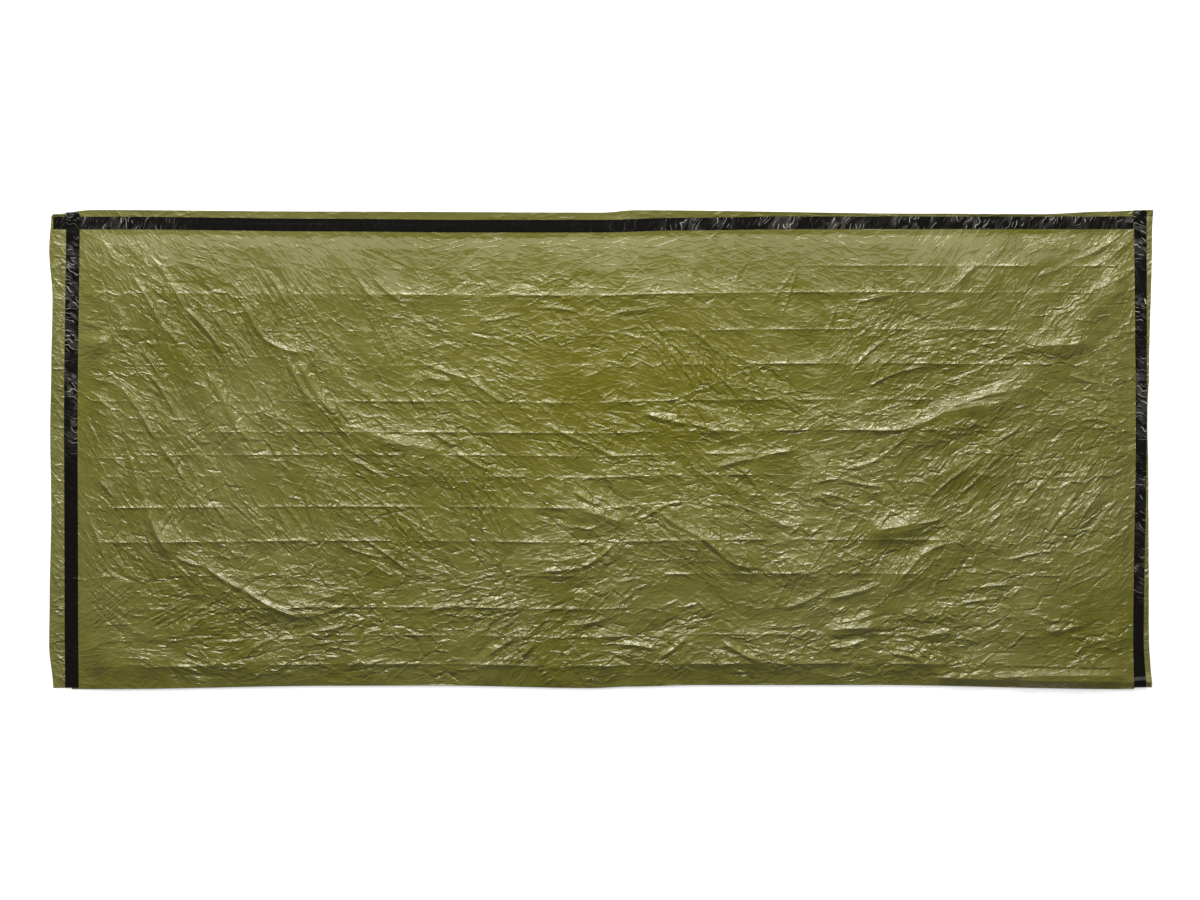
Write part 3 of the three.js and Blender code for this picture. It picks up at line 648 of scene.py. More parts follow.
def creased_net(columns, low, high, folds, spacing, seed):
    """Points and triangles of a flat sheet, with an edge along each fold's line.

    The sheet spans the columns from low to high. A fold gets points on its line, and on
    both flanks half way between them, so that its faces are flat and its ridge is crisp.
    """
    left, right = columns[0], columns[-1]
    side = evenly(low, high, RIM_STEP)[1:-1]
    points = [(x, low) for x in columns] + [(right, y) for y in side]
    points += [(x, high) for x in evenly(right, left, RIM_STEP)] + [(left, y) for y in side[::-1]]
    edges = [(k, (k + 1) % len(points)) for k in range(len(points))]

    def fits(x, y):
        return (left + RIM_CLEAR < x < right - RIM_CLEAR
                and low + RIM_CLEAR < y < high - RIM_CLEAR)

    for fold in folds:
        x0, y0, x1, y1, _, _, wide = fold
        steps = max(1, int(round(math.hypot(x1 - x0, y1 - y0) / FOLD_STEP)))
        x, y, _ = fold_line(fold, np.linspace(0, 1, steps + 1))
        before = None
        for k in range(steps + 1):
            if not fits(x[k], y[k]):
                before = None
                continue
            points.append((x[k], y[k]))
            if before is not None:
                edges.append((before, len(points) - 1))
            before = len(points) - 1
        x, y, across = fold_line(fold, (np.arange(steps) + 0.5) / steps)
        for away in (wide, -wide):
            for k in range(steps):
                flank = (x[k] + across[0] * away, y[k] + across[1] * away)
                if fits(*flank):
                    points.append(flank)
    fill_x, fill_y = np.meshgrid(np.arange(left + spacing, right - RIM_CLEAR, spacing),
                                 np.arange(low + spacing, high - RIM_CLEAR, spacing))
    rng = np.random.default_rng(seed)
    jitter = rng.uniform(-FILL_JITTER, FILL_JITTER, (2, fill_x.size)) * spacing
    for x, y in zip(fill_x.ravel() + jitter[0], fill_y.ravel() + jitter[1]):
        if fits(x, y):
            points.append((x, y))
    made = delaunay_2d_cdt([Vector(p) for p in points], edges, [], 0, NEAREST)
    return np.array([tuple(p) for p in made[0]]), np.array(made[2])


def crease_rows():
    """The pressed creases as rows of a fold table, for the net's edges alone."""
    long = 60
    starts = range(FRONT["left"] + 20, FRONT["right"] - long, long)
    return [(x, y, x + long, y, 0, 0, CREASE["crest"][1]) for y, *_ in CREASES for x in starts]


def laid_out(u, v, front, z):
    """Points of the cut film where they come to lie, at the heights z."""
    x, y = lie(u, v, front)
    return np.stack([x, y, z], 1)


def long_fold(columns, low, folds, margins):
    """Points and faces of the turn from the back layer to the front one."""
    ledge = low + 0 * columns
    radius = fold_radius(columns)
    rows = [laid_out(columns, ledge, 0.0, back_relief(columns, ledge, *margins))]
    for angle in np.radians(np.linspace(-75, 75, 5)):
        x, y = lie(columns, EDGE["fold"] + radius, 0.5 + 0.5 * math.sin(angle))
        z = BACK + radius * (1 + math.sin(angle))
        rows.append(np.stack([x, y - radius * math.cos(angle), z], 1))
    rows.append(laid_out(columns, ledge, 1.0, front_relief(columns, ledge, *folds)))
    starts = np.arange(len(rows) - 1)[:, None] * len(columns)
    near = (starts + np.arange(len(columns) - 1)).ravel()
    far = near + len(columns)
    faces = np.concatenate([np.stack([near, near + 1, far + 1], 1),
                            np.stack([near, far + 1, far], 1)])
    return np.concatenate(rows), faces


def film_piece():
    """The one sheet of film: back layer, the turn at the fold, front layer."""
    margin_left = evenly(EDGE["left"], FRONT["left"], RIM_STEP)[:-1]
    margin_right = evenly(FRONT["right"], EDGE["right"], RIM_STEP)[1:]
    columns = evenly(FRONT["left"], FRONT["right"], RIM_STEP)
    every = np.concatenate([margin_left, columns, margin_right])
    low = EDGE["fold"] + LEDGE

    ridges, valleys = small_folds()
    ridges += [(*row[:5], SHARP_GAIN * row[5], row[6]) for row in SHARP_FOLDS]
    lines = ridges + valleys + crease_rows() + CROSSINGS
    flat, faces_f = creased_net(columns, low, FRONT["top"], lines, FILL_STEP["front"], SEED)
    front = laid_out(*flat.T, 1.0, front_relief(*flat.T, ridges, valleys))

    up, down = margin_folds()
    lines = up + down + CROSSINGS
    flat, faces_b = creased_net(every, low, EDGE["top"], lines, FILL_STEP["back"], SEED + 1)
    back = laid_out(*flat.T, 0.0, back_relief(*flat.T, up, down))

    turned, faces_t = long_fold(columns, low, (ridges, valleys), (up, down))
    points = np.concatenate([back, turned, front])
    faces = np.concatenate([faces_b[:, ::-1], faces_t + len(back),
                            faces_f + len(back) + len(turned)])
    film = mesh_object("film_bag", points * MM, faces)
    # 0 on the back layer, 1 on the front one, and half way in the turn between them
    layer = np.repeat([0.0, 0.5, 1.0], [len(back), len(turned), len(front)])
    film.data.attributes.new("layer", "FLOAT", "POINT").data.foreach_set("value", layer)
    weld(film)
    film.data.set_sharp_from_angle(angle=math.radians(SHARP_TURN["film"]))
    return film


def weld(piece):
    """Joins the parts of the sheet where they meet."""
    shell = bmesh.new()
    shell.from_mesh(piece.data)
    bmesh.ops.remove_doubles(shell, verts=shell.verts, dist=WELD * MM)
    shell.to_mesh(piece.data)
    shell.free()


def thin_out(piece, most):
    """Takes out the triangles that flat stretches don't need."""
    count = sum(len(p.vertices) - 2 for p in piece.data.polygons)
    if count <= most:
        return
    sieve = piece.modifiers.new("thin_out", "DECIMATE")
    sieve.ratio = most / count
    shape = piece.evaluated_get(bpy.context.evaluated_depsgraph_get())
    made = bpy.data.meshes.new_from_object(shape)
    piece.modifiers.remove(sieve)
    old, piece.data = piece.data, made
    bpy.data.meshes.remove(old)


def store_lean_shares(piece):
    """Tells the finish how much of each lean every point takes, less where it is stretched."""
    places = np.empty(len(piece.data.vertices) * 3, np.float32)
    piece.data.vertices.foreach_get("co", places)
    x, y = places[0::3] / MM, places[1::3] / MM
    shares = lean_shares(wrinkle_run(x, y)[0]) * (1 - 0.45 * stretch(x, y))
    stored = piece.data.attributes.new("lean_shares", "FLOAT_COLOR", "POINT")
    stored.data.foreach_set("color", shares.T.astype(np.float32).ravel())


# ---------------------------------------------------------------- nodes and materials
def node(tree, kind, links=None, **settings):
    """Adds a node; links gives each input a value, an output, or a node for its first output."""
    made = tree.nodes.new(kind)
    for name, value in settings.items():
        setattr(made, name, value)
    for socket, source in (links or {}).items():
        if isinstance(source, bpy.types.Node):
            source = source.outputs[0]
        if isinstance(source, bpy.types.NodeSocket):
            tree.links.new(source, made.inputs[socket])
        else:
            made.inputs[socket].default_value = source
    return made


def colour(code, alpha=1.0):
    """An sRGB hex colour as the linear colour that a socket takes."""
    parts = [int(code[k:k + 2], 16) / 255 for k in (1, 3, 5)]
    return (*(p / 12.92 if p <= 0.04045 else ((p + 0.055) / 1.055) ** 2.4 for p in parts), alpha)


def new_material(name):
    material = bpy.data.materials.new(name)
    material.use_nodes = True
    material.node_tree.nodes.clear()
    return material, material.node_tree


def olive_film():
    """Blown polyethylene film, pigmented olive and metallised: glossy, crushed, a little milky."""
    material, tree = new_material("metallised_polyethylene_film")
    place = node(tree, "ShaderNodeTexCoord").outputs["Object"]
    stray = node(tree, "ShaderNodeTexNoise", {"Vector": place, "Scale": 7.0, "Detail": 1.0})
    bent = node(tree, "ShaderNodeVectorMath", {
        0: stray.outputs["Color"], 1: (30 * MM,) * 3, 2: place}, operation="MULTIPLY_ADD")
    shares = node(tree, "ShaderNodeAttribute", attribute_name="lean_shares")
    each = node(tree, "ShaderNodeSeparateColor", {0: shares.outputs["Color"]})
    shares_by_lean = (*each.outputs[:3], shares.outputs["Alpha"])

    # Small facets, each tilted across its lean by an amount of its own.
    tilt = node(tree, "ShaderNodeNewGeometry").outputs["Normal"]
    for lean, share in zip(LEANS, shares_by_lean):
        turn = math.radians(lean)
        for long, short, steep in FACETS:
            spot = node(tree, "ShaderNodeMapping", {
                "Vector": bent, "Rotation": (0, 0, turn),
                "Scale": (long * MM, short * MM, 1)}, vector_type="TEXTURE")
            cells = node(tree, "ShaderNodeTexVoronoi", {"Vector": spot, "Scale": 1.0},
                         voronoi_dimensions="2D", feature="F1", distance="MANHATTAN")
            drawn = node(tree, "ShaderNodeSeparateColor", {0: cells.outputs["Color"]})
            amount = node(tree, "ShaderNodeMath", {0: drawn, 1: 2 * steep, 2: -steep},
                          operation="MULTIPLY_ADD")
            amount = node(tree, "ShaderNodeMath", {0: amount, 1: share}, operation="MULTIPLY")
            tilt = node(tree, "ShaderNodeVectorMath", {
                0: (-math.sin(turn), math.cos(turn), 0), 1: amount, 2: tilt},
                operation="MULTIPLY_ADD")
    facing = node(tree, "ShaderNodeVectorMath", {0: tilt}, operation="NORMALIZE")

    # Fine creases between such facets, stronger in some patches than in others.
    ridge = 0.0
    for lean, share in zip(LEANS, shares_by_lean):
        long, short, reach = FINE_CREASE
        spot = node(tree, "ShaderNodeMapping", {
            "Vector": bent, "Rotation": (0, 0, math.radians(lean + 7)),
            "Scale": (long * MM, short * MM, 1)}, vector_type="TEXTURE")
        cells = node(tree, "ShaderNodeTexVoronoi", {"Vector": spot, "Scale": 1.0},
                     voronoi_dimensions="2D", feature="DISTANCE_TO_EDGE")
        line = node(tree, "ShaderNodeMapRange", {
            "Value": cells.outputs["Distance"], "From Max": reach / short,
            "To Min": 1.0, "To Max": 0.0})
        ridge = node(tree, "ShaderNodeMath", {0: line, 1: share, 2: ridge},
                     operation="MULTIPLY_ADD")
    patch = node(tree, "ShaderNodeTexNoise", {"Vector": place, "Scale": 26.0, "Detail": 2.0})
    strength = node(tree, "ShaderNodeMapRange", {
        "Value": patch, "From Min": 0.36, "From Max": 0.64, "To Min": 0.4, "To Max": 0.95})
    ridge = node(tree, "ShaderNodeMath", {0: ridge, 1: strength}, operation="MULTIPLY")
    creased = node(tree, "ShaderNodeBump", {
        "Height": ridge, "Strength": 1.0, "Distance": 0.88 * MM, "Normal": facing})

    # Cloudy pigment, a deeper olive around the middle, and paler where the film lies in one layer:
    # painted light, as if the white floor shone through it.
    cloud = node(tree, "ShaderNodeTexNoise", {"Vector": place, "Scale": 3.4, "Detail": 4.0})
    cloudy = node(tree, "ShaderNodeMapRange", {
        "Value": cloud, "From Min": 0.32, "From Max": 0.68})
    tint = node(tree, "ShaderNodeMix", {
        0: cloudy, 6: colour("#636013"), 7: colour("#757237")}, data_type="RGBA")
    from_middle = node(tree, "ShaderNodeVectorMath", {0: place, 1: (0.02, 0.13, 0)},
                       operation="SUBTRACT")
    from_middle = node(tree, "ShaderNodeVectorMath", {0: from_middle, 1: (0.8, 0.42, 1)},
                       operation="DIVIDE")
    from_middle = node(tree, "ShaderNodeVectorMath", {0: from_middle}, operation="LENGTH")
    deep = node(tree, "ShaderNodeMapRange", {
        "Value": from_middle.outputs["Value"], "To Min": 0.75, "To Max": 0.0},
        interpolation_type="SMOOTHSTEP")
    tint = node(tree, "ShaderNodeMix", {
        0: deep, 6: tint.outputs[2], 7: colour("#6d6904")}, data_type="RGBA")
    layer = node(tree, "ShaderNodeAttribute", attribute_name="layer")
    # Paler on the back layer: painted light from the floor under the one film.
    one_layer_painted_light = node(tree, "ShaderNodeMapRange", {
        "Value": layer.outputs["Fac"], "From Max": 0.3, "To Min": 0.06, "To Max": 0.0})
    tint = node(tree, "ShaderNodeMix", {
        0: one_layer_painted_light, 6: tint.outputs[2], 7: colour("#a3a47c")}, data_type="RGBA")

    shader = node(tree, "ShaderNodeBsdfPrincipled", {
        "Base Color": tint.outputs[2], "Roughness": 0.36, "IOR": 1.45,
        "Specular Tint": colour("#fff6d8"), "Coat Weight": 0.7, "Coat Roughness": 0.13,
        "Coat IOR": 1.5, "Normal": creased, "Coat Normal": creased})
    node(tree, "ShaderNodeOutputMaterial", {"Surface": shader})
    return material


def black_tape():
    """Polyethylene tape, black, glossy from its calender rolls, whitened where it is crushed, with
    painted shade in faint bands, painted sheen on crushed facets and painted glints along its
    creases.
    """
    material, tree = new_material("black_polyethylene_tape")
    place = node(tree, "ShaderNodeTexCoord").outputs["Object"]
    noise = node(tree, "ShaderNodeTexNoise", {"Vector": place, "Scale": 160.0, "Detail": 3.0})
    bump = node(tree, "ShaderNodeBump", {"Height": noise, "Strength": 0.15, "Distance": 0.0005})
    run, over, worn = (
        node(tree, "ShaderNodeAttribute", attribute_name=name).outputs["Fac"]
        for name in ("run", "over", "worn"))

    # Faint dark bands across the tape: painted shade of its fine cross striations.
    stray = node(tree, "ShaderNodeTexNoise", {"Vector": place, "Scale": 60.0, "Detail": 1.0})
    across = node(tree, "ShaderNodeMath", {0: stray, 1: 14 * MM, 2: run},
                  operation="MULTIPLY_ADD")
    shade_bands = node(tree, "ShaderNodeTexNoise", {"W": across, "Scale": 230.0, "Detail": 3.0},
                noise_dimensions="1D")
    # Black to a little less black: painted shade.
    tint = node(tree, "ShaderNodeMix", {
        0: shade_bands, 6: colour("#000000"), 7: colour("#11100a")}, data_type="RGBA")

    # Crushed facets, lighter where the tape is crushed: painted sheen, as if each facet caught the
    # lamps.
    spot = node(tree, "ShaderNodeCombineXYZ", {0: run, 1: over})
    bent = node(tree, "ShaderNodeVectorMath", {
        0: stray.outputs["Color"], 1: (12 * MM,) * 3, 2: spot}, operation="MULTIPLY_ADD")
    turn, long, short = TAPE_FACET
    laid = node(tree, "ShaderNodeMapping", {
        "Vector": bent, "Rotation": (0, 0, math.radians(turn)),
        "Scale": (long * MM, short * MM, 1)}, vector_type="TEXTURE")
    facet = node(tree, "ShaderNodeTexVoronoi", {"Vector": laid, "Scale": 1.0},
                 voronoi_dimensions="2D", feature="F1")
    drawn = node(tree, "ShaderNodeSeparateColor", {0: facet.outputs["Color"]})
    # Painted sheen: some facets lighter, where the tape is crushed.
    facet_sheen = node(tree, "ShaderNodeMapRange", {"Value": drawn, "From Min": 0.4, "From Max": 0.9})
    facet_sheen = node(tree, "ShaderNodeMath", {0: facet_sheen, 1: worn}, operation="MULTIPLY")
    tint = node(tree, "ShaderNodeMix", {
        0: facet_sheen, 6: tint.outputs[2], 7: colour("#43413b")}, data_type="RGBA")

    # Whitened streaks across the tape, slanted and broken, only where it is crushed: stress
    # whitening along its creases, and painted glints on them.
    slanted = node(tree, "ShaderNodeMath", {0: over, 1: -0.4, 2: run}, operation="MULTIPLY_ADD")
    wander = node(tree, "ShaderNodeTexNoise", {"Vector": place, "Scale": 42.0, "Detail": 1.0})
    slanted = node(tree, "ShaderNodeMath", {0: wander, 1: 30 * MM, 2: slanted},
                   operation="MULTIPLY_ADD")
    streak = node(tree, "ShaderNodeTexVoronoi", {"W": slanted, "Scale": 1 / (9 * MM)},
                  voronoi_dimensions="1D", feature="DISTANCE_TO_EDGE")
    line = node(tree, "ShaderNodeMapRange", {
        "Value": streak.outputs["Distance"], "From Max": 0.075, "To Min": 1.0, "To Max": 0.0})
    spot = node(tree, "ShaderNodeCombineXYZ", {0: slanted, 1: over})
    spot = node(tree, "ShaderNodeVectorMath", {0: spot, 1: (170, 70, 0)}, operation="MULTIPLY")
    broken = node(tree, "ShaderNodeTexNoise", {"Vector": spot, "Scale": 1.0, "Detail": 0.0},
                  noise_dimensions="2D")
    broken = node(tree, "ShaderNodeMapRange", {
        "Value": broken, "From Min": 0.5, "From Max": 0.58})
    for factor in (broken, worn):
        line = node(tree, "ShaderNodeMath", {0: line, 1: factor}, operation="MULTIPLY")
    # Stress whitening and painted glints.
    tint = node(tree, "ShaderNodeMix", {
        0: line, 6: tint.outputs[2], 7: colour("#dad7ca")}, data_type="RGBA")
    shader = node(tree, "ShaderNodeBsdfPrincipled", {
        "Base Color": tint.outputs[2], "Roughness": 0.11, "IOR": 1.4, "Normal": bump})
    node(tree, "ShaderNodeOutputMaterial", {"Surface": shader})
    return material


# ---------------------------------------------------------------- tapes
def tape_tree():
    """Geometry Nodes: a strip that follows a path, pressed down on what it lies on.

    Five rays go down near each of its points. The strip keeps clear of the height that the
    middle one meets, smoothed along and across, and of the highest that any of them meets.
    On top come the fine creases across a tape that was rubbed down by hand. They fade out
    over its plain stretch and at its edges, which are stuck down. The attributes run and over
    tell the finish how far along and across a point lies, and a third how crushed it is, which
    is where the finish draws wear and paints sheen and glints.
    """
    tree = bpy.data.node_groups.new("tape_laid_on", "GeometryNodeTree")
    inputs = (("Path", "Object"), ("Lies on", "Object"), ("Then on", "Object"),
              ("Back layer only", "Bool"), ("Length", "Float"), ("Width", "Float"),
              ("Steps along", "Int"), ("Steps across", "Int"), ("Clearance", "Float"),
              ("Least clearance", "Float"), ("Plain from", "Float"), ("Plain until", "Float"),
              ("Crease spacing", "Float"), ("Crease height", "Float"), ("Seed", "Int"),
              ("Finish", "Material"))
    for name, kind in inputs:
        tree.interface.new_socket(name, in_out="INPUT", socket_type="NodeSocket" + kind)
    tree.interface.new_socket("Geometry", in_out="OUTPUT", socket_type="NodeSocketGeometry")
    given = node(tree, "NodeGroupInput").outputs

    # The strip's points, laid flat along the path, and a place above each.
    strip = node(tree, "GeometryNodeMeshGrid", {
        "Size X": 1.0, "Size Y": 1.0, "Vertices X": given["Steps along"],
        "Vertices Y": given["Steps across"]})
    place = node(tree, "ShaderNodeSeparateXYZ", {0: node(tree, "GeometryNodeInputPosition")})
    share = node(tree, "ShaderNodeMath", {0: place, 1: 0.5}, operation="ADD")
    path = node(tree, "GeometryNodeObjectInfo", {"Object": given["Path"]})
    on_path = node(tree, "GeometryNodeSampleCurve", {
        "Curves": path.outputs["Geometry"], "Factor": share}, mode="FACTOR")
    onward = on_path.outputs["Tangent"]
    across = node(tree, "ShaderNodeVectorMath", {0: (0, 0, 1), 1: onward},
                  operation="CROSS_PRODUCT")
    offset = node(tree, "ShaderNodeMath", {0: place.outputs[1], 1: given["Width"]},
                  operation="MULTIPLY")
    side = node(tree, "ShaderNodeVectorMath", {0: across, "Scale": offset}, operation="SCALE")
    flat = node(tree, "ShaderNodeVectorMath", {0: on_path.outputs["Position"], 1: side},
                operation="ADD")
    above = node(tree, "ShaderNodeVectorMath", {0: flat, 1: (0, 0, 0.05)}, operation="ADD")

    # What it lies on: the film, or only its back layer, and a tape laid before it.
    film_under = node(tree, "GeometryNodeObjectInfo", {"Object": given["Lies on"]})
    layer = node(tree, "GeometryNodeInputNamedAttribute", {"Name": "layer"}, data_type="FLOAT")
    in_front = node(tree, "FunctionNodeCompare", {0: layer, 1: 0.2}, operation="GREATER_THAN")
    hidden = node(tree, "FunctionNodeBooleanMath", {0: in_front, 1: given["Back layer only"]},
                  operation="AND")
    bared = node(tree, "GeometryNodeDeleteGeometry", {
        "Geometry": film_under.outputs["Geometry"], "Selection": hidden})
    tape_under = node(tree, "GeometryNodeObjectInfo", {"Object": given["Then on"]})
    under = node(tree, "GeometryNodeJoinGeometry")
    tree.links.new(bared.outputs[0], under.inputs[0])
    tree.links.new(tape_under.outputs["Geometry"], under.inputs[0])
    heights = []
    for way, by in ((across, 0), (across, 2), (across, -2), (onward, TAPE_STEP),
                    (onward, -TAPE_STEP)):
        start = node(tree, "ShaderNodeVectorMath", {0: way, 1: (by * MM,) * 3, 2: above},
                     operation="MULTIPLY_ADD")
        hit = node(tree, "GeometryNodeRaycast", {
            "Target Geometry": under, "Source Position": start,
            "Ray Direction": (0, 0, -1), "Ray Length": 0.1})
        met = node(tree, "ShaderNodeSeparateXYZ", {0: hit.outputs["Hit Position"]})
        heights.append(node(tree, "ShaderNodeMath", {
            0: met.outputs[2], 1: hit.outputs["Is Hit"]}, operation="MULTIPLY"))
    highest = heights[0]
    for beside in heights[1:]:
        highest = node(tree, "ShaderNodeMath", {0: highest, 1: beside}, operation="MAXIMUM")
    eased = node(tree, "GeometryNodeBlurAttribute", {"Value": heights[0], "Iterations": 80},
                 data_type="FLOAT")

    # Creases in two sizes: spacing, length in such spacings, shear, share of the height.
    run = node(tree, "ShaderNodeMath", {0: share, 1: given["Length"]}, operation="MULTIPLY")
    bumps = []
    for spacing, length, shear, part in ((1.0, 6.0, -0.8, 0.6), (3.2, 1.6, 0.5, 0.9)):
        along = node(tree, "ShaderNodeMath", {0: offset, 1: shear, 2: run},
                     operation="MULTIPLY_ADD")
        spot = []
        for way, size in ((along, spacing), (offset, spacing * length)):
            way = node(tree, "ShaderNodeMath", {0: way, 1: given["Crease spacing"]},
                       operation="DIVIDE")
            spot.append(node(tree, "ShaderNodeMath", {0: way, 1: size}, operation="DIVIDE"))
        spot = node(tree, "ShaderNodeCombineXYZ", {0: spot[0], 1: spot[1], 2: given["Seed"]})
        cells = node(tree, "ShaderNodeTexVoronoi", {"Vector": spot, "Scale": 1.0},
                     voronoi_dimensions="3D", feature="F1", distance="MANHATTAN")
        bumps.append(node(tree, "ShaderNodeMath", {0: cells.outputs["Distance"], 1: part},
                          operation="MULTIPLY"))

    # How strong they are: in patches, less in the plain stretch and at the stuck edges.
    patch = node(tree, "ShaderNodeTexNoise", {"Vector": flat, "Scale": 16.0, "Detail": 1.0})
    strong = node(tree, "ShaderNodeMapRange", {
        "Value": patch, "From Min": 0.42, "From Max": 0.62, "To Min": 0.1, "To Max": 1.0})
    before = node(tree, "ShaderNodeMath", {0: given["Plain from"], 1: share},
                  operation="SUBTRACT")
    after = node(tree, "ShaderNodeMath", {0: share, 1: given["Plain until"]},
                 operation="SUBTRACT")
    beyond = node(tree, "ShaderNodeMath", {0: before, 1: after}, operation="MAXIMUM")
    crumpled = node(tree, "ShaderNodeMapRange", {
        "Value": beyond, "From Min": -0.05, "From Max": 0.05, "To Min": 0.02, "To Max": 1.0})
    outward = node(tree, "ShaderNodeMath", {0: place.outputs[1]}, operation="ABSOLUTE")
    stuck = node(tree, "ShaderNodeMapRange", {
        "Value": outward, "From Min": 0.28, "From Max": 0.46, "To Min": 1.0, "To Max": 0.1})
    # How crushed a point is: where the finish draws wear and paints sheen and glints.
    worn = node(tree, "ShaderNodeMath", {0: strong, 1: crumpled}, operation="MULTIPLY")
    crease = bumps[0]
    for operation, by in (("ADD", bumps[1]), ("SUBTRACT", 0.55), ("MULTIPLY", strong),
                          ("MULTIPLY", given["Crease height"]), ("MULTIPLY", crumpled),
                          ("MULTIPLY", stuck), ("MAXIMUM", -0.3 * MM), ("MINIMUM", 1.8 * MM)):
        crease = node(tree, "ShaderNodeMath", {0: crease, 1: by}, operation=operation)

    # The height of each point, and the strip moved there.
    least = node(tree, "ShaderNodeMath", {0: highest, 1: given["Least clearance"]},
                 operation="ADD")
    top = eased
    for operation, by in (("ADD", given["Clearance"]), ("ADD", crease), ("MAXIMUM", least)):
        top = node(tree, "ShaderNodeMath", {0: top, 1: by}, operation=operation)
    spread = node(tree, "ShaderNodeSeparateXYZ", {0: flat})
    laid = node(tree, "ShaderNodeCombineXYZ", {0: spread, 1: spread.outputs[1], 2: top})
    kept = strip
    for name, value, kind in (("laid", laid, "FLOAT_VECTOR"), ("run", run, "FLOAT"),
                              ("over", offset, "FLOAT"), ("worn", worn, "FLOAT")):
        kept = node(tree, "GeometryNodeStoreNamedAttribute", {
            "Geometry": kept, "Name": name, "Value": value}, data_type=kind, domain="POINT")
    laid_at = node(tree, "GeometryNodeInputNamedAttribute", {"Name": "laid"},
                   data_type="FLOAT_VECTOR")
    moved = node(tree, "GeometryNodeSetPosition", {"Geometry": kept, "Position": laid_at})
    whole = node(tree, "GeometryNodeRealizeInstances", {0: moved})
    finished = node(tree, "GeometryNodeSetMaterial", {
        "Geometry": whole, "Material": given["Finish"]})
    node(tree, "NodeGroupOutput", {0: finished})
    return tree


def tape(tree, name, stands_for, path_mm, size, crease, plain, finish, on, then_on=None,
         back_only=False, seed=0):
    """One tape as a plain mesh, laid along a path by the tree.

    crease gives the spacing and height of its creases, and plain the shares of its length
    between which they all but vanish.
    """
    curve = bpy.data.curves.new("path", "CURVE")
    curve.dimensions = "3D"
    line = curve.splines.new("POLY")
    line.points.add(len(path_mm[0]) - 1)
    for point, x, y in zip(line.points, *path_mm):
        point.co = (x * MM, y * MM, 0, 1)
    path = bpy.data.objects.new("path", curve)
    bpy.context.scene.collection.objects.link(path)

    piece = bpy.data.objects.new(name, bpy.data.meshes.new(name))
    bpy.context.scene.collection.objects.link(piece)
    layer = piece.modifiers.new("lay", "NODES")
    layer.node_group = tree
    sockets = {item.name: item.identifier for item in tree.interface.items_tree}
    long, wide = size
    given = {
        "Path": path, "Lies on": on, "Then on": then_on, "Back layer only": back_only,
        "Length": long * MM, "Width": wide * MM, "Steps along": int(long / TAPE_STEP),
        "Steps across": TAPE_ROWS, "Clearance": TAPE_CLEAR["usual"] * MM,
        "Least clearance": TAPE_CLEAR["least"] * MM, "Plain from": plain[0],
        "Plain until": plain[1], "Crease spacing": crease[0] * MM,
        "Crease height": crease[1] * MM, "Seed": seed, "Finish": finish,
    }
    for socket, value in given.items():
        layer[sockets[socket]] = value
    shape = piece.evaluated_get(bpy.context.evaluated_depsgraph_get())
    made = bpy.data.meshes.new_from_object(shape)
    piece.modifiers.clear()
    piece.data = made
    made.set_sharp_from_angle(angle=math.radians(SHARP_TURN["tape"]))
    bpy.data.objects.remove(path)
    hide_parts(stands_for)
    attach(piece, "root")
    return piece


def lay_tapes(film, finish):
    """The mouth's tape goes on first, then the long seam's over its end, then the foot's."""
    tree = tape_tree()
    y = evenly(MOUTH_TAPE["low"], MOUTH_TAPE["high"], PATH_STEP["down"])
    mouth = tape(tree, "tape_at_mouth", "tape_mouth", lie(0 * y + MOUTH_TAPE["x"], y, 0.0),
                 (y[-1] - y[0], MOUTH_TAPE["wide"]), (8, 4.2), (-1, 0.2), finish, film,
                 back_only=True, seed=3)
    x = evenly(TOP_TAPE["left"], FRONT["right"] - 1, PATH_STEP["along"])
    top = tape(tree, "tape_on_top_seam", "tape_top", lie(x, 0 * x + TOP_TAPE["y"], 1.0),
               (x[-1] - x[0], TOP_TAPE["wide"]), (4, 0.3), (0.1, 0.56), finish, film,
               then_on=mouth, seed=1)
    y = evenly(FOOT_TAPE["low"], FOOT_TAPE["high"], PATH_STEP["down"])
    foot = tape(tree, "tape_on_foot", "tape_foot", lie(0 * y + FOOT_TAPE["x"], y, 0.0),
                (y[-1] - y[0], FOOT_TAPE["wide"]), (6, 3.4), (-1, 0.5), finish, film,
                then_on=top, seed=2)


# ---------------------------------------------------------------- camera, floor, light
def camera_above():
    """Straight above the bag, whose long side nearly fills the frame."""
    data = bpy.data.cameras.new("camera")
    data.lens, data.sensor_width = 85, 36
    across = 2.302  # metres from side to side of the frame, at the bag's middle height
    mid_z = (CAD_BOX[0].z + CAD_BOX[1].z) / 2
    camera = bpy.data.objects.new("camera", data)
    camera.location = (-0.002, -0.001, across * data.lens / data.sensor_width + mid_z)
    bpy.context.scene.collection.objects.link(camera)
    bpy.context.scene.camera = camera


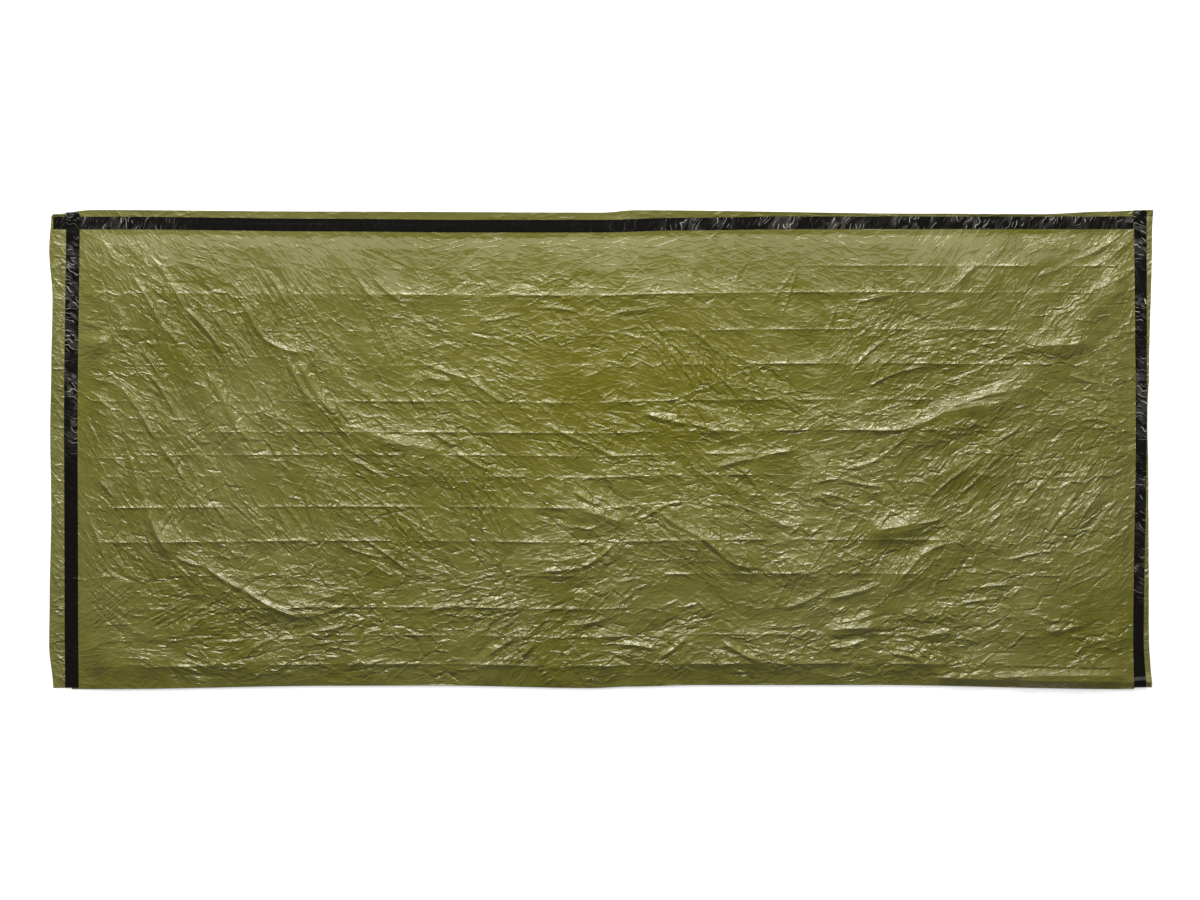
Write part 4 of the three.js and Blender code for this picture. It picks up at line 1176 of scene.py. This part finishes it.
def pale_floor():
    """White paper under the bag. It glows a little to the camera alone, as if well lit."""
    size = 30.0
    corners = ((-size, -size, 0), (size, -size, 0), (size, size, 0), (-size, size, 0))
    floor = mesh_object("floor", np.array(corners), np.array([[0, 1, 2, 3]]))
    material, tree = new_material("white_paper")
    path = node(tree, "ShaderNodeLightPath")
    paper = node(tree, "ShaderNodeBsdfDiffuse", {"Color": colour("#f2f2f2")})
    glow = node(tree, "ShaderNodeEmission", {"Color": (1, 1, 1, 1), "Strength": 0.42})
    lit = node(tree, "ShaderNodeAddShader", {0: paper, 1: glow})
    mixed = node(tree, "ShaderNodeMixShader", {
        0: path.outputs["Is Camera Ray"], 1: paper, 2: lit})
    node(tree, "ShaderNodeOutputMaterial", {"Surface": mixed})
    floor.data.materials.append(material)


def softbox(name, place, aim, wide, tall, power):
    """An area light of that size and power, turned to what it lights."""
    data = bpy.data.lights.new(name, "AREA")
    data.shape, data.size, data.size_y, data.energy = "RECTANGLE", wide, tall, power
    lamp = bpy.data.objects.new(name, data)
    lamp.location = place
    lamp.rotation_euler = (Vector(aim) - Vector(place)).to_track_quat("-Z", "Y").to_euler()
    bpy.context.scene.collection.objects.link(lamp)


def studio():
    """One large softbox rakes over the bag from the long seam's side; two weaker ones fill.

    The room is dim to the bag and white to the camera.
    """
    world = bpy.data.worlds.new("studio")
    bpy.context.scene.world = world
    world.use_nodes = True
    world.node_tree.nodes.clear()
    tree = world.node_tree
    path = node(tree, "ShaderNodeLightPath")
    dim = node(tree, "ShaderNodeBackground", {"Color": (1, 1, 1, 1), "Strength": 0.18})
    white = node(tree, "ShaderNodeBackground", {"Color": (1, 1, 1, 1), "Strength": 1.0})
    mixed = node(tree, "ShaderNodeMixShader", {
        0: path.outputs["Is Camera Ray"], 1: dim, 2: white})
    node(tree, "ShaderNodeOutputWorld", {"Surface": mixed})
    softbox("softbox_raking", (-0.5, 4.4, 2.3), (0, -0.05, 0), 4.8, 1.5, 300)
    softbox("softbox_high", (-0.3, 2.9, 3.6), (0, 0, 0), 4.4, 0.5, 75)
    softbox("softbox_over", (0, 1.75, 4.2), (0, 0, 0), 4.0, 1.0, 26)


# ---------------------------------------------------------------- put together
bpy.context.scene.view_settings.view_transform = "Standard"
camera_above()
film_finish = olive_film()
tape_finish = black_tape()

film = film_piece()
thin_out(film, MOST_TRIANGLES)
film.data.materials.append(film_finish)
store_lean_shares(film)
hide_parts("film")
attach(film, "root")

lay_tapes(film, tape_finish)
pale_floor()
studio()
